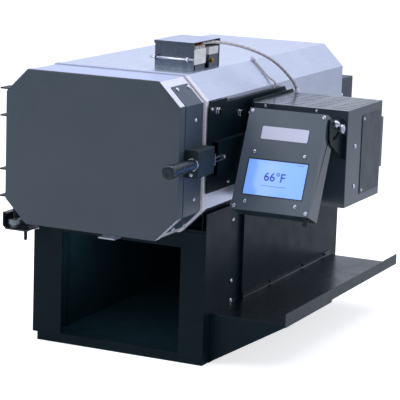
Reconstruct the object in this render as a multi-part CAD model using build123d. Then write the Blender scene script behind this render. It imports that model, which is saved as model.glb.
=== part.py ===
from build123d import *
from math import cos, sin, radians, sqrt, tan
import os

os.makedirs("parts", exist_ok=True)

# Long heat treating kiln with an octagonal steel body, a side-hinged front door,
# a tilting control panel on the right and an open stand underneath.
# Millimetres. X runs to the right, Y to the back and Z up.
# The origin is on the floor, in the middle of the stand.

# Clearances
contact_gap = 0.3
running_fit = 0.08
slot_clearance = 0.5

# Stand
stand_width = 305.0
stand_length = 576.0
stand_height = 220.0
stand_sheet = 1.5
post_face = 44.0
post_side = 96.0
post_face_drop = 4.0
recess_length = 53.0
recess_depth = 6.0
side_split = 353.0
stand_side_rise = 28.0
base_lip = 15.0
cross_rail_height = 31.0
cross_rail_depth = 26.0
cradle_reach = 28.0
tray_depth = 10.0
tray_bottom = 13.0
tray_top = 186.0

# Kiln body
body_width = stand_width
body_height = 248.0
body_chamfer = 38.0
body_length = 588.0
body_overhang = 21.0
shell_sheet = 1.0
front_ring_length = 11.0
front_ring_proud = 1.2
face_plate_sheet = 1.2
face_plate_width = 26.0
gasket_width = 11.0
gasket_inset = 9.0

# Chamber
chamber_width = 165.0
chamber_height = 108.0
rear_brick = 64.0
groove_height = 13.0
groove_depth = 15.0
groove_spread = 60.0
groove_front = 22.0
element_diameter = 10.0
element_bend = 10.0
brick_rebate = 3.0
tail_diameter = 3.2
tail_length = 30.0
bushing_diameter = 12.0
bushing_length = 9.0

# Door
door_depth = 84.0
door_gap = 4.0
door_skin = 1.5
door_band = 18.0
door_sheet = 1.0
side_plate_sheet = 1.2
side_plate_front = 20.5
side_plate_back = 78.0
wing_reach = 27.5

# Door hinge
hinge_offset = 15.5
hinge_setback = 58.0
hinge_rod_diameter = 8.0
ear_sheet = 2.0
ear_front = 20.0
ear_margin = 12.0
ear_nose = 20.0
ear_reach = 21.0
hinge_span = 44.0
upper_hinge_rise = 38.5
lower_hinge_drop = 93.0
knuckle_width = 14.0
knuckle_arm = 46.0
knuckle_foot = 40.0
foot_sheet = 2.5
washer_height = 1.5
bracket_drop = 24.0
bracket_height = 28.0
collar_diameter = 17.6
collar_height = 9.0
disc_diameter = 23.0
disc_height = 8.0
disc_lift = 6.0
stop_bolt_diameter = 5.6
stop_bolt_length = 17.0
stop_bolt_offset = 20.0

# Small angle on the front rail
angle_middle = -16.0
angle_width = 30.0
angle_reach = 20.0
angle_height = 16.0
angle_lift = 2.0

# Handle and catch
handle_width = 23.0
handle_length = 58.0
handle_height = 43.0
handle_front = 20.0
handle_drop = 1.5
grip_length = 83.0
grip_base = 18.0
grip_end = 22.0
grip_collar = 4.0
handle_stud_diameter = 8.0
stud_back = 30.0
stud_grip = 45.0
keeper_diameter = 4.0
keeper_length = 9.0
keeper_back = 112.0
clip_sheet = 1.0
clip_width = 7.0

# Terminal box on the roof
terminal_width = 69.0
terminal_length = 96.0
terminal_height = 45.0
terminal_left = 38.0
terminal_back = 137.0
terminal_sheet = 1.2
sheath_diameter = 8.0
sheath_x = 70.0
sheath_back = 179.0
sheath_reach = 30.0
ceramic_width = 22.0
ceramic_length = 44.0
ceramic_height = 24.0
ceramic_seat = 10.0
terminal_post = 3.0
terminal_post_height = 7.0
clamp_rod_diameter = 4.0
clamp_rod_height = 19.0

# Brackets on the right side
mount_sheet = 2.0
mount_standoff = 4.0
mount_start = 91.5
mount_end = 401.0
mount_below = 59.5
mount_above = 79.5
mount_front_rise = 6.0
mount_bevel = 10.0
pad_diameter = 14.0
mount_front_length = 65.0
web_height = 55.0
web_rise = 22.0
carrier_sheet = 1.5
carrier_front = 105.0
carrier_end = 409.0
carrier_rise = 4.0
spacer_diameter = 10.0

# Control box
box_left = 170.0
box_width = 164.0
box_depth = 157.0
box_height = 157.0
box_setback = 235.0
box_below = 86.0
box_sheet = 1.2
vent_rows = 8
vent_columns = 4
vent_length = 31.0
vent_width = 3.5
side_label_width = 88.0
side_label_height = 129.0
side_label_sheet = 1.2
inlet_depth = 9.0
inlet_diameter = 22.0
inlet_length = 6.0
inlet_drop = 70.0
inlet_opening = 84.0
board_rise = 10.0
board_sheet = 1.6
relay_height = 35.0

# Tilting panel
panel_left = 191.0
panel_width = 132.0
panel_height = 165.0
panel_depth = 41.0
panel_sheet = 1.2
panel_face_sheet = 1.5
panel_tilt = 23.0
pivot_setback = 197.0
pivot_below_top = 16.5
pivot_drop = 6.5
pivot_depth = 27.0
pivot_diameter = 6.0
arm_sheet = 2.0
arm_gap = 1.5
clamp_radius = 23.0
clamp_start = -26.0
clamp_travel = 69.0
clamp_stud = 5.5
knob_diameter = 14.0
knob_height = 7.0
bumper_depth = 22.0
bumper_diameter = 10.0
bumper_length = 11.0
screen_width = 100.5
screen_height = 57.5
screen_left = 15.5
screen_top = 82.0
screen_module = 8.0
name_width = 79.0
name_height = 21.0
name_left = 28.0
name_top = 27.8

# Side shelf
shelf_width = 132.0
shelf_start = 132.0
shelf_length = 518.0
shelf_height = 82.0
shelf_sheet = 1.5
shelf_lip = 17.0
shelf_skirt = 4.0
shelf_skirt_length = 198.0
shelf_inner_lip = 8.0
shelf_fold = 2.5
shelf_screw = 5.4

# Rear cover
cover_width = 296.0
cover_height = 160.0
cover_depth = 66.0
cover_drop = 99.0
cover_sheet = 1.2

# Leads
lead_diameter = 5.0
side_lead_diameter = 3.6
neck_diameter = 8.0
neck_height = 5.5
bead_diameter = 7.0
bead_length = 7.0

# Places that follow from the sizes above
stand_front = -stand_length / 2
stand_back = stand_length / 2
body_front = stand_front - body_overhang
body_back = body_front + body_length
door_back = body_front - door_gap
door_front = door_back - door_depth
body_middle = stand_height + body_height / 2
body_top = stand_height + body_height
stand_side_top = stand_height + stand_side_rise
upper_hinge = body_middle + upper_hinge_rise
lower_hinge = body_middle - lower_hinge_drop
bracket_floor = stand_height - bracket_drop
handle_middle = body_middle - handle_drop
mount_bottom = body_middle - mount_below
mount_top = body_middle + mount_above
mount_front_top = mount_top + mount_front_rise
web_top = body_middle + web_rise
box_bottom = body_middle - box_below
pivot_height = box_bottom + box_height - pivot_below_top
cover_bottom = body_middle - cover_drop
half_body = body_width / 2
half_stand = stand_width / 2
inner_wall = half_stand - stand_sheet
post_end = stand_front + post_side
recess_end = post_end + recess_length
rear_split = stand_front + side_split
chamber_front = body_front + face_plate_sheet
chamber_back = body_back - shell_sheet - rear_brick
chamber_floor = body_middle - chamber_height / 2
chamber_roof = body_middle + chamber_height / 2
half_chamber = chamber_width / 2


def behind(distance):
    """Y of a place this far behind the door's front face."""
    return door_front + distance


def block(x0, x1, y0, y1, z0, z1):
    """Box between two corners."""
    box = Box(x1 - x0, y1 - y0, z1 - z0)
    return Pos((x0 + x1) / 2, (y0 + y1) / 2, (z0 + z1) / 2) * box


def prism_xz(points, y0, y1):
    """Outline in X and Z, drawn out along Y."""
    outline = Polyline(*[(x, y0, z) for x, z in points], close=True)
    return extrude(make_face(outline), amount=y1 - y0, dir=(0, 1, 0))


def prism_yz(points, x0, x1):
    """Outline in Y and Z, drawn out along X."""
    outline = Polyline(*[(x0, y, z) for y, z in points], close=True)
    return extrude(make_face(outline), amount=x1 - x0, dir=(1, 0, 0))


def prism_xy(points, z0, z1):
    """Outline in X and Y, drawn out along Z."""
    outline = Polyline(*[(x, y, z0) for x, y in points], close=True)
    return extrude(make_face(outline), amount=z1 - z0, dir=(0, 0, 1))


def rod(start, end, diameter, end_diameter=None):
    """Round bar, straight or tapered, between two points."""
    run = Vector(*end) - Vector(*start)
    plane = Plane(origin=start, z_dir=run)
    if end_diameter is None:
        return Solid.make_cylinder(diameter / 2, run.length, plane)
    return Solid.make_cone(diameter / 2, end_diameter / 2, run.length, plane)


def octagon(inset=0.0):
    """Corners of the body's outline in X and Z, moved inwards."""
    x = half_body - inset
    z = body_height / 2 - inset
    cut = body_chamfer - inset * (2 - sqrt(2))
    corners = [(x - cut, z), (x, z - cut), (x, cut - z), (x - cut, -z)]
    corners += [(cut - x, -z), (-x, cut - z), (-x, z - cut), (cut - x, z)]
    return [(cx, cz + body_middle) for cx, cz in corners]


def octagon_solid(y0, y1, inset=0.0):
    return prism_xz(octagon(inset), y0, y1)


def octagon_ring(y0, y1, outer, inner):
    return octagon_solid(y0, y1, outer) - octagon_solid(y0 - 1, y1 + 1, inner)


def mirrored(shape):
    """The same shape on the other side of the middle."""
    return mirror(shape, about=Plane.YZ)


def hex_bolt(seat, way, across=10.0, height=4.0, washer=12.0, washer_sheet=1.0):
    """Hexagon head on a washer, standing on a face."""
    plane = Plane(origin=seat, z_dir=way)
    base = Solid.make_cylinder(washer / 2, washer_sheet, plane)
    outline = plane.offset(washer_sheet) * RegularPolygon(across / 2, 6, major_radius=False)
    return base + extrude(outline, amount=height)


def pan_screw(seat, way, diameter=7.0, height=2.4):
    """Screw head with a bevelled rim, standing on a face."""
    plane = Plane(origin=seat, z_dir=way)
    rim = Solid.make_cylinder(diameter / 2, height / 2, plane)
    dome = Solid.make_cone(diameter / 2, diameter / 3, height / 2, plane.offset(height / 2))
    return rim + dome


def write(node, *shapes):
    """One STEP file for a named piece."""
    solids = [solid for shape in shapes for solid in shape.solids()]
    whole = solids[0] if len(solids) == 1 else Compound(children=solids)
    whole.label = node
    export_step(whole, f"parts/{node}.step")


# Stand

def corner_post():
    """Folded front corner: a face, a long side and a short return."""
    face = block(half_stand - post_face, half_stand, stand_front, stand_front + stand_sheet,
                 0, stand_height - post_face_drop)
    side = block(inner_wall, half_stand, stand_front, post_end, 0, stand_side_top)
    turn_x = half_stand - recess_depth - stand_sheet
    turn = block(turn_x, half_stand, post_end - stand_sheet, post_end, 0, stand_side_top)
    return face + side + turn


def right_panel():
    """Side panel with a sunken strip along its front edge."""
    low = half_stand - recess_depth
    outline = [(low - stand_sheet, post_end), (low, post_end),
               (low, recess_end - stand_sheet), (half_stand, recess_end - stand_sheet),
               (half_stand, rear_split), (inner_wall, rear_split),
               (inner_wall, recess_end), (low - stand_sheet, recess_end)]
    return prism_xy(outline, 0, stand_side_top)


def rear_side_panel():
    """Rear part of a side wall."""
    return block(inner_wall, half_stand, rear_split, stand_back - stand_sheet, 0, stand_side_top)


def left_wall():
    """Plain wall from the left post to the rear panel."""
    return block(-half_stand, -inner_wall, post_end, stand_back - stand_sheet, 0, stand_side_top)


def left_tray():
    """Shallow folded tray that covers the outside of the left wall."""
    x0 = -half_stand - tray_depth
    outer = block(x0, -half_stand, stand_front + stand_sheet, stand_back - stand_sheet,
                  tray_bottom, tray_top)
    inner = block(x0 + stand_sheet, -half_stand, stand_front + 2 * stand_sheet,
                  stand_back - 2 * stand_sheet, tray_bottom + stand_sheet, tray_top - stand_sheet)
    return outer - inner


def base_pan():
    """Floor sheet with a lip along the front between the posts."""
    floor = block(-inner_wall, inner_wall, stand_front + stand_sheet, stand_back - stand_sheet,
                  0, stand_sheet)
    reach = half_stand - post_face
    lip = block(-reach, reach, stand_front, stand_front + stand_sheet, 0, base_lip)
    turn_back = block(-reach, reach, stand_front, stand_front + 5 * stand_sheet,
                      base_lip - stand_sheet, base_lip)
    post_notch = recess_depth + stand_sheet
    right_notch = block(half_stand - post_notch, half_stand, post_end - stand_sheet, recess_end,
                        -1, stand_sheet + 1)
    left_notch = block(-half_stand, post_notch - half_stand, post_end - stand_sheet, post_end,
                       -1, stand_sheet + 1)
    return floor + lip + turn_back - right_notch - left_notch


def rear_panel():
    return block(-half_stand, half_stand, stand_back - stand_sheet, stand_back,
                 0, stand_height - post_face_drop)


def cross_rail(y0):
    """Channel under the body, open at the bottom."""
    z0 = stand_height - cross_rail_height
    outer = block(-inner_wall, inner_wall, y0, y0 + cross_rail_depth, z0, stand_height)
    inner = block(-stand_width, stand_width, y0 + stand_sheet, y0 + cross_rail_depth - stand_sheet,
                  z0 - 1, stand_height - stand_sheet)
    return outer - inner


def cradle():
    """Folded rail that holds the sloping lower edge of the body."""
    edge = stand_height + body_chamfer
    x = half_body - recess_depth - stand_sheet
    drop = half_body - x
    skew = stand_sheet * sqrt(2)
    low_x = x - cradle_reach
    low_z = edge - drop - cradle_reach
    outline = [(x, edge - drop), (low_x, low_z),
               (low_x + skew / 2, low_z - skew / 2), (x - stand_sheet, edge - drop - stand_sheet - skew),
               (x - stand_sheet, stand_height), (x, stand_height)]
    return prism_xz(outline, stand_front + stand_sheet, body_back)


rail_places = [stand_front + stand_sheet, -cross_rail_depth / 2,
               stand_back - stand_sheet - cross_rail_depth]
write("stand_post_right", corner_post())
write("stand_post_left", mirrored(corner_post()))
write("stand_side_panels", right_panel(), rear_side_panel())
write("stand_left_wall", left_wall(), left_tray())
write("stand_base_pan", base_pan())
write("stand_rear_panel", rear_panel())
write("stand_top_rails", *[cross_rail(place) for place in rail_places], cradle(), mirrored(cradle()))

recess_x = half_stand - recess_depth
recess_middle = post_end + recess_length / 3
stand_screws = [pan_screw((recess_x, recess_middle, height), (1, 0, 0), 8.0)
                for height in (84.0, 117.0, stand_height)]


# Shelf on the right of the stand

shelf_y0 = behind(shelf_start)
shelf_y1 = shelf_y0 + shelf_length
shelf_x1 = half_stand + shelf_width


def side_shelf():
    """Folded shelf with a low inner lip and an upright outer lip."""
    z1 = shelf_height
    z0 = z1 - shelf_sheet
    plate = block(half_stand, shelf_x1, shelf_y0, shelf_y1, z0, z1)
    outer = block(shelf_x1 - shelf_sheet, shelf_x1, shelf_y0, shelf_y1, z0, z1 + shelf_lip)
    skirt_points = [(shelf_y0, z1), (shelf_y0, z0 - shelf_skirt),
                    (shelf_y0 + shelf_skirt_length, z0 - shelf_skirt),
                    (shelf_y0 + shelf_skirt_length + shelf_skirt, z0),
                    (shelf_y0 + shelf_skirt_length + shelf_skirt, z1)]
    skirt = prism_yz(skirt_points, shelf_x1 - shelf_sheet, shelf_x1)
    lip_face = half_stand + shelf_sheet
    inner = block(half_stand, lip_face, recess_end, shelf_y1, z0, z1 + shelf_inner_lip)
    fold = block(lip_face, lip_face + shelf_fold, recess_end, shelf_y1, z1, z1 + shelf_fold)
    fold -= rod((lip_face + shelf_fold, recess_end - 1, z1 + shelf_fold),
                (lip_face + shelf_fold, shelf_y1 + 1, z1 + shelf_fold), 2 * shelf_fold)
    return plate + outer + skirt + inner + fold


def shelf_gusset():
    """Triangular plate under the front edge of the shelf, with a mounting fold."""
    z1 = shelf_height - shelf_sheet
    tip = shelf_x1 - shelf_sheet
    outline = [(half_stand, 0), (tip, z1 - shelf_skirt), (tip, z1), (half_stand, z1)]
    plate = prism_xz(outline, shelf_y0, shelf_y0 + shelf_sheet)
    fold = block(half_stand, half_stand + shelf_sheet, shelf_y0, shelf_y0 + 16 * shelf_sheet, 0, z1)
    return plate + fold


shelf_screw_z = shelf_height + (shelf_fold + shelf_inner_lip) / 2
shelf_screws = [pan_screw((half_stand + shelf_sheet, shelf_y0 + place, shelf_screw_z), (1, 0, 0), shelf_screw)
                for place in (240.0, 388.0, 490.0)]
write("side_shelf", side_shelf())
write("shelf_gusset", shelf_gusset())


# Kiln body

def body_shell():
    """Octagonal steel wrap with holes for the sensor and its leads."""
    shell = octagon_ring(chamber_front, body_back, 0, shell_sheet)
    sensor = rod((sheath_x, behind(sheath_back), body_top - 5),
                 (sheath_x, behind(sheath_back), body_top + 5), sheath_diameter + slot_clearance)
    return shell - sensor


def brick_part(x0, x1, z0, z1, y0, y1):
    """Part of the insulation, cut from the inside of the shell."""
    return octagon_solid(y0, y1, shell_sheet) & block(x0, x1, y0 - 1, y1 + 1, z0, z1)


def side_brick():
    """Right wall of the chamber, with grooves for the heating element."""
    wall = block(half_chamber, half_body - shell_sheet, chamber_front, chamber_back,
                 chamber_floor - brick_rebate, chamber_roof)
    x0 = half_chamber - 1
    x1 = half_chamber + groove_depth
    half = groove_height / 2
    turn = chamber_front + groove_front
    for side in (-1, 1):
        z = body_middle + side * groove_spread / 2
        wall -= block(x0, x1, turn, chamber_back + 1, z - half, z + half)
    reach = groove_spread / 2 + half
    return wall - block(x0, x1, turn, turn + groove_height, body_middle - reach, body_middle + reach)


element_x = half_chamber + groove_depth / 2
element_turn = chamber_front + groove_front + groove_height / 2
tail_spots = [(side * element_x, body_middle + level * groove_spread / 2)
              for side in (-1, 1) for level in (-1, 1)]
tail_end = body_back + tail_length


def heating_element():
    """Coiled wire along both grooves, as its outer tube."""
    half = groove_spread / 2
    points = [(element_x, chamber_back, body_middle + half), (element_x, element_turn, body_middle + half),
              (element_x, element_turn, body_middle - half), (element_x, chamber_back, body_middle - half)]
    path = FilletPolyline(*points, radius=element_bend)
    section = Plane(origin=points[0], z_dir=(0, -1, 0)) * Circle(element_diameter / 2)
    return sweep(section, path=path)


def rear_insulation():
    brick = octagon_solid(chamber_back, body_back - shell_sheet, shell_sheet)
    for x, z in tail_spots:
        brick -= rod((x, chamber_back - 1, z), (x, body_back, z), tail_diameter + slot_clearance)
    return brick


def rear_plate():
    plate = octagon_solid(body_back - shell_sheet, body_back, shell_sheet)
    for x, z in tail_spots:
        plate -= rod((x, body_back - 5, z), (x, body_back + 5, z), bushing_diameter)
    return plate


def floor_brick():
    """Floor of the chamber, with a rebate on each side for the walls to stand in."""
    base = brick_part(-stand_width, stand_width, stand_height, chamber_floor - brick_rebate,
                      chamber_front, chamber_back)
    return base + block(-half_chamber, half_chamber, chamber_front, chamber_back,
                        chamber_floor - brick_rebate, chamber_floor)


def roof_brick():
    roof = brick_part(-stand_width, stand_width, chamber_roof, body_top, chamber_front, chamber_back)
    return roof - rod((sheath_x, behind(sheath_back), chamber_roof - 1),
                      (sheath_x, behind(sheath_back), body_top), sheath_diameter + slot_clearance)


def front_frame():
    """Face plate around the chamber, folded back over the front edge of the shell."""
    face = octagon_ring(body_front, chamber_front, -front_ring_proud, face_plate_width)
    return face + octagon_ring(body_front, body_front + front_ring_length, -front_ring_proud, 0)


write("body_shell", body_shell())
write("body_front_frame", front_frame())
write("door_gasket", octagon_ring(door_back + contact_gap, body_front,
                                  gasket_inset, gasket_inset + gasket_width))
write("firebrick_floor", floor_brick())
write("firebrick_roof", roof_brick())
write("firebrick_right", side_brick())
write("firebrick_left", mirrored(side_brick()))
write("firebrick_rear", rear_insulation())
write("body_rear_plate", rear_plate())
element_tails = [rod((x, chamber_back, z), (x, tail_end, z), tail_diameter) for x, z in tail_spots]
write("heating_elements", heating_element(), mirrored(heating_element()), *element_tails)


def bushing(x, z):
    """Ceramic bushing that carries an element tail through the rear plate."""
    inner = rod((x, body_back - shell_sheet, z), (x, body_back + bushing_length, z), bushing_diameter)
    collar = rod((x, body_back, z), (x, body_back + 3, z), bushing_diameter + 6)
    bore = rod((x, body_back - 5, z), (x, tail_end, z), tail_diameter)
    return inner + collar - bore


def rear_cover():
    """Box over the element connections, open towards the body."""
    half = cover_width / 2
    top = cover_bottom + cover_height
    outer = block(-half, half, body_back, body_back + cover_depth, cover_bottom, top)
    inner = block(-half + cover_sheet, half - cover_sheet, body_back - 1,
                  body_back + cover_depth - cover_sheet, cover_bottom + cover_sheet, top - cover_sheet)
    cover = outer - inner
    slot_y = body_back + cover_depth
    for column in range(-4, 5):
        x = column * cover_width / 11
        cover -= block(x - 9, x + 9, slot_y - 5, slot_y + 1, top - 34, top - 30)
        cover -= block(x - 9, x + 9, slot_y - 5, slot_y + 1, cover_bottom + 30, cover_bottom + 34)
    return cover


cover_screws = [pan_screw((side * (cover_width / 2), body_back + 12, z), (side, 0, 0), 6.0)
                for side in (-1, 1) for z in (cover_bottom + 30, cover_bottom + cover_height - 30)]
write("rear_cover", rear_cover())


# Terminal box on the roof

terminal_right = terminal_left + terminal_width
terminal_y0 = behind(terminal_back)
terminal_y1 = terminal_y0 + terminal_length
terminal_top = body_top + terminal_height
ceramic_x1 = terminal_right - 1.0
ceramic_x0 = ceramic_x1 - ceramic_width
ceramic_y0 = terminal_y0 + terminal_sheet + 2.0
ceramic_y1 = ceramic_y0 + ceramic_length
ceramic_z0 = body_top + ceramic_seat
ceramic_z1 = ceramic_z0 + ceramic_height


def terminal_box():
    """Folded box with an open right side, tabs for the clamp rod and two raised seats."""
    box = block(terminal_left, terminal_right, terminal_y0, terminal_y1, body_top, terminal_top)
    box -= block(terminal_left + terminal_sheet, terminal_right + 1, terminal_y0 + terminal_sheet,
                 terminal_y1 - terminal_sheet, body_top + terminal_sheet, terminal_top + 1)
    seat = block(ceramic_x0 + 2, ceramic_x1, ceramic_y0 + 4, ceramic_y1 - 4, body_top, ceramic_z0)
    rear_seat = block(ceramic_x0 + 6, ceramic_x1, ceramic_y1 + 12, terminal_y1 - terminal_sheet,
                      body_top, body_top + 22)
    bore = rod((sheath_x, behind(sheath_back), body_top - 1),
               (sheath_x, behind(sheath_back), body_top + 3), sheath_diameter + slot_clearance)
    rod_y = terminal_y0 - clamp_rod_diameter
    rod_z = body_top + clamp_rod_height
    tabs = [block(x, x + terminal_sheet, terminal_y0 - 2 * clamp_rod_diameter, terminal_y0,
                  rod_z - clamp_rod_diameter, rod_z + clamp_rod_diameter)
            for x in (terminal_left + 4, terminal_right - 12)]
    box = box + seat + rear_seat + tabs[0] + tabs[1] - bore
    return box - rod((terminal_left - 20, rod_y, rod_z), (terminal_right + 20, rod_y, rod_z),
                     clamp_rod_diameter)


def terminal_lid():
    """Flat lid with folded edges outside the front and rear walls."""
    sheet = terminal_sheet
    plate = block(terminal_left - sheet, terminal_right, terminal_y0 - sheet, terminal_y1 + sheet,
                  terminal_top, terminal_top + sheet)
    front = block(terminal_left - sheet, terminal_right, terminal_y0 - sheet, terminal_y0,
                  terminal_top - 4, terminal_top + sheet)
    rear = block(terminal_left - sheet, terminal_right, terminal_y1, terminal_y1 + sheet,
                 terminal_top - 4, terminal_top + sheet)
    return plate + front + rear


def clamp_rod():
    """Threaded rod across the front of the terminal box, with a nut on each tab."""
    y = terminal_y0 - clamp_rod_diameter
    z = body_top + clamp_rod_height
    bar = rod((terminal_left - 7, y, z), (terminal_right + 2, y, z), clamp_rod_diameter)
    left_nut = rod((terminal_left + 1, y, z), (terminal_left + 4, y, z), 2 * clamp_rod_diameter)
    right_nut = rod((terminal_right - 12 + terminal_sheet, y, z), (terminal_right - 7, y, z),
                    2 * clamp_rod_diameter)
    return bar + left_nut + right_nut


post_x = ceramic_x1 - 6.0
post_places = [ceramic_y0 + 6 + 8 * step for step in range(4)]
rear_ceramic = block(ceramic_x0 + 6, ceramic_x1, ceramic_y1 + 12, terminal_y1 - 2 * terminal_sheet,
                     body_top + 22, body_top + 34)
sheath_top = body_top + 19.0
sheath_y = behind(sheath_back)
sheath = rod((sheath_x, sheath_y, chamber_roof - sheath_reach),
             (sheath_x, sheath_y, body_top + terminal_sheet), sheath_diameter)
sheath_head = rod((sheath_x, sheath_y, body_top + terminal_sheet),
                  (sheath_x, sheath_y, sheath_top), 2 * sheath_diameter - 2)
sensor_wires = [rod((sheath_x + sheath_diameter - 1.4, sheath_y + side * 3, sheath_top - 3),
                    (ceramic_x0, sheath_y + side * 3, sheath_top - 3), 1.6) for side in (-1, 1)]
write("terminal_box", terminal_box())
write("terminal_box_lid", terminal_lid())
write("terminal_clamp_rod", clamp_rod())
write("ceramic_insulators", block(ceramic_x0, ceramic_x1, ceramic_y0, ceramic_y1, ceramic_z0, ceramic_z1),
      rear_ceramic, *[bushing(x, z) for x, z in tail_spots])
terminals = [rod((post_x, y, ceramic_z1), (post_x, y, ceramic_z1 + terminal_post_height), terminal_post)
             for y in post_places]
terminals.append(hex_bolt((ceramic_x1, ceramic_y1 + 20, body_top + 12), (1, 0, 0), 7.0, 3.0, 9.0))
write("terminal_posts", *terminals)
write("thermocouple", sheath + sheath_head, *sensor_wires)


# Brackets on the right side of the body

plate_x = half_body + mount_standoff
mount_x = plate_x + mount_sheet
carrier_x = box_left - carrier_sheet
web_y0 = behind(carrier_front)
box_y0 = behind(box_setback)
box_y1 = box_y0 + box_depth
box_top = box_bottom + box_height
box_right = box_left + box_width


def side_mount_plate():
    """Plate on the body's side, higher at the front and bevelled at the rear."""
    y0 = behind(mount_start)
    y1 = behind(mount_end)
    step = y0 + mount_front_length
    outline = [(y0, mount_bottom), (y1, mount_bottom), (y1, mount_top - mount_bevel),
               (y1 - mount_bevel, mount_top), (step, mount_top), (step, mount_front_top),
               (y0 + mount_bevel, mount_front_top), (y0, mount_front_top - mount_bevel)]
    plate = prism_yz(outline, plate_x, mount_x)
    for y in (y0 + 20, y1 - 20):
        for z in (mount_bottom + 12, mount_top - 20):
            plate += rod((half_body, y, z), (plate_x, y, z), pad_diameter)
    return plate


def box_carrier():
    """Carrier of the control box: a wall, a web in front of it and two flanges."""
    y1 = behind(carrier_end)
    wall_front = box_y0 - 24
    web_bottom = web_top - web_height
    outline = [(web_y0, web_bottom), (wall_front, web_bottom), (wall_front, mount_bottom),
               (y1, mount_bottom), (y1, box_top + carrier_rise - 8), (y1 - 10, box_top + carrier_rise),
               (box_y0, box_top + carrier_rise), (wall_front, web_top), (web_y0, web_top)]
    wall = prism_yz(outline, carrier_x, box_left)
    upper = block(mount_x, box_left, web_y0, wall_front + 60, web_top - carrier_sheet, web_top)
    lower = block(mount_x, box_left, web_y0, wall_front + 60, web_bottom, web_bottom + carrier_sheet)
    carrier = wall + upper + lower
    for y, z in [(box_y0 + 40, mount_top - 20), (box_y1 - 20, mount_top - 20), (box_y1 - 20, mount_bottom + 14)]:
        carrier += rod((mount_x, y, z), (carrier_x, y, z), spacer_diameter)
    return carrier


write("side_mount_plate", side_mount_plate())
write("control_box_carrier", box_carrier())
keeper_y = behind(keeper_back)
keeper = rod((box_left, keeper_y, handle_middle), (box_left + keeper_length, keeper_y, handle_middle),
             keeper_diameter)
write("catch_keeper", keeper)
mount_y = behind(mount_start)
mount_bolts = [hex_bolt((mount_x, mount_y + 29, mount_top - 11), (1, 0, 0), 9.0, 4.0),
               hex_bolt((mount_x, mount_y + 114, mount_top - 24), (1, 0, 0), 8.0, 3.0),
               pan_screw((mount_x, mount_y + 8, mount_top - 6), (1, 0, 0), 5.0),
               pan_screw((mount_x, mount_y + 78, mount_bottom + 9), (1, 0, 0), 6.0)]


# Control box

def control_box_shell():
    """Bottom and two side walls of the control box."""
    outer = block(box_left, box_right, box_y0 + box_sheet, box_y1 - box_sheet,
                  box_bottom, box_top - box_sheet)
    inner = block(box_left + box_sheet, box_right - box_sheet, box_y0 - 1, box_y1 + 1,
                  box_bottom + box_sheet, box_top)
    return outer - inner


def vent_slot(x, y):
    """Cutter for a rounded slot through the top of the box."""
    half = vent_length / 2 - vent_width / 2
    body = block(x - half, x + half, y - vent_width / 2, y + vent_width / 2, box_top - 5, box_top + 1)
    ends = [rod((x + side * half, y, box_top - 5), (x + side * half, y, box_top + 1), vent_width)
            for side in (-1, 1)]
    return body + ends[0] + ends[1]


def control_box_lid():
    """Front, top and rear of the control box, with rows of vent slots."""
    outer = block(box_left, box_right, box_y0, box_y1, box_bottom, box_top)
    inner = block(box_left - 1, box_right + 1, box_y0 + box_sheet, box_y1 - box_sheet,
                  box_bottom - 1, box_top - box_sheet)
    lid = outer - inner
    row_step = (box_depth - 36) / (vent_rows - 1)
    column_step = box_width / vent_columns
    for row in range(vent_rows):
        for column in range(vent_columns):
            x = box_left + (column + 0.5) * column_step
            lid -= vent_slot(x, box_y0 + 18 + row * row_step)
    inlet = block(box_right - 40, box_right, box_y1 - 0.5, box_y1 + inlet_depth, box_top - inlet_drop - inlet_opening / 2, box_top - inlet_drop + inlet_opening / 2)
    return lid + inlet


label_y0 = box_y0 + 65.0
label_z0 = box_bottom + 13.0
write("control_box_shell", control_box_shell())
write("control_box_lid", control_box_lid())
write("control_box_side_plate", block(box_right, box_right + side_label_sheet, label_y0, label_y0 + side_label_width,
                                      label_z0, label_z0 + side_label_height))
box_screws = [pan_screw((box_left + 21, box_y0, box_top - 5), (0, -1, 0), 5.0, 1.6),
              pan_screw((box_left + 110, box_y0, box_top - 5), (0, -1, 0), 5.0, 1.6),
              pan_screw((box_right, box_y0 + 36, box_bottom + 96), (1, 0, 0), 7.0),
              pan_screw((box_right, box_y0 + 38, box_bottom + 30), (1, 0, 0), 7.0),
              pan_screw((box_right + side_label_sheet, label_y0 + 6, label_z0 + side_label_height - 6),
                        (1, 0, 0), 5.0, 1.6),
              pan_screw((box_right + side_label_sheet, label_y0 + 6, label_z0 + 6), (1, 0, 0), 5.0, 1.6)]


def control_board():
    """Circuit board on four standoffs, with two power relays."""
    z0 = box_bottom + box_sheet + board_rise
    z1 = z0 + board_sheet
    board = block(box_left + 22, box_right - 22, box_y0 + 30, box_y1 - 30, z0, z1)
    for x in (box_left + 28, box_right - 28):
        for y in (box_y0 + 36, box_y1 - 36):
            board += rod((x, y, box_bottom + box_sheet), (x, y, z0), 6.0)
    for x in (box_left + 34, box_left + 96):
        board += block(x, x + 28, box_y0 + 60, box_y0 + 92, z1, z1 + relay_height)
    return board


write("control_board", control_board())


# Arms that carry the tilting panel

panel_right = panel_left + panel_width
pivot_y = behind(pivot_setback)


def polar(radius, angle):
    """Place around the pivot, in Y and Z."""
    return (pivot_y + radius * cos(radians(angle)), pivot_height + radius * sin(radians(angle)))


def clamp_slot(x0, x1):
    """Curved slot around the pivot for the clamp stud."""
    width = clamp_stud + 2 * slot_clearance
    outer = rod((x0, pivot_y, pivot_height), (x1, pivot_y, pivot_height), 2 * clamp_radius + width)
    inner = rod((x0 - 1, pivot_y, pivot_height), (x1 + 1, pivot_y, pivot_height), 2 * clamp_radius - width)
    end = clamp_start - clamp_travel
    middle = (clamp_start + end) / 2
    wedge = [(pivot_y, pivot_height), polar(3 * clamp_radius, clamp_start),
             polar(3 * clamp_radius, middle), polar(3 * clamp_radius, end)]
    slot = (outer - inner) & prism_yz(wedge, x0, x1)
    for angle in (clamp_start, end):
        y, z = polar(clamp_radius, angle)
        slot += rod((x0, y, z), (x1, y, z), width)
    return slot


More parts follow.
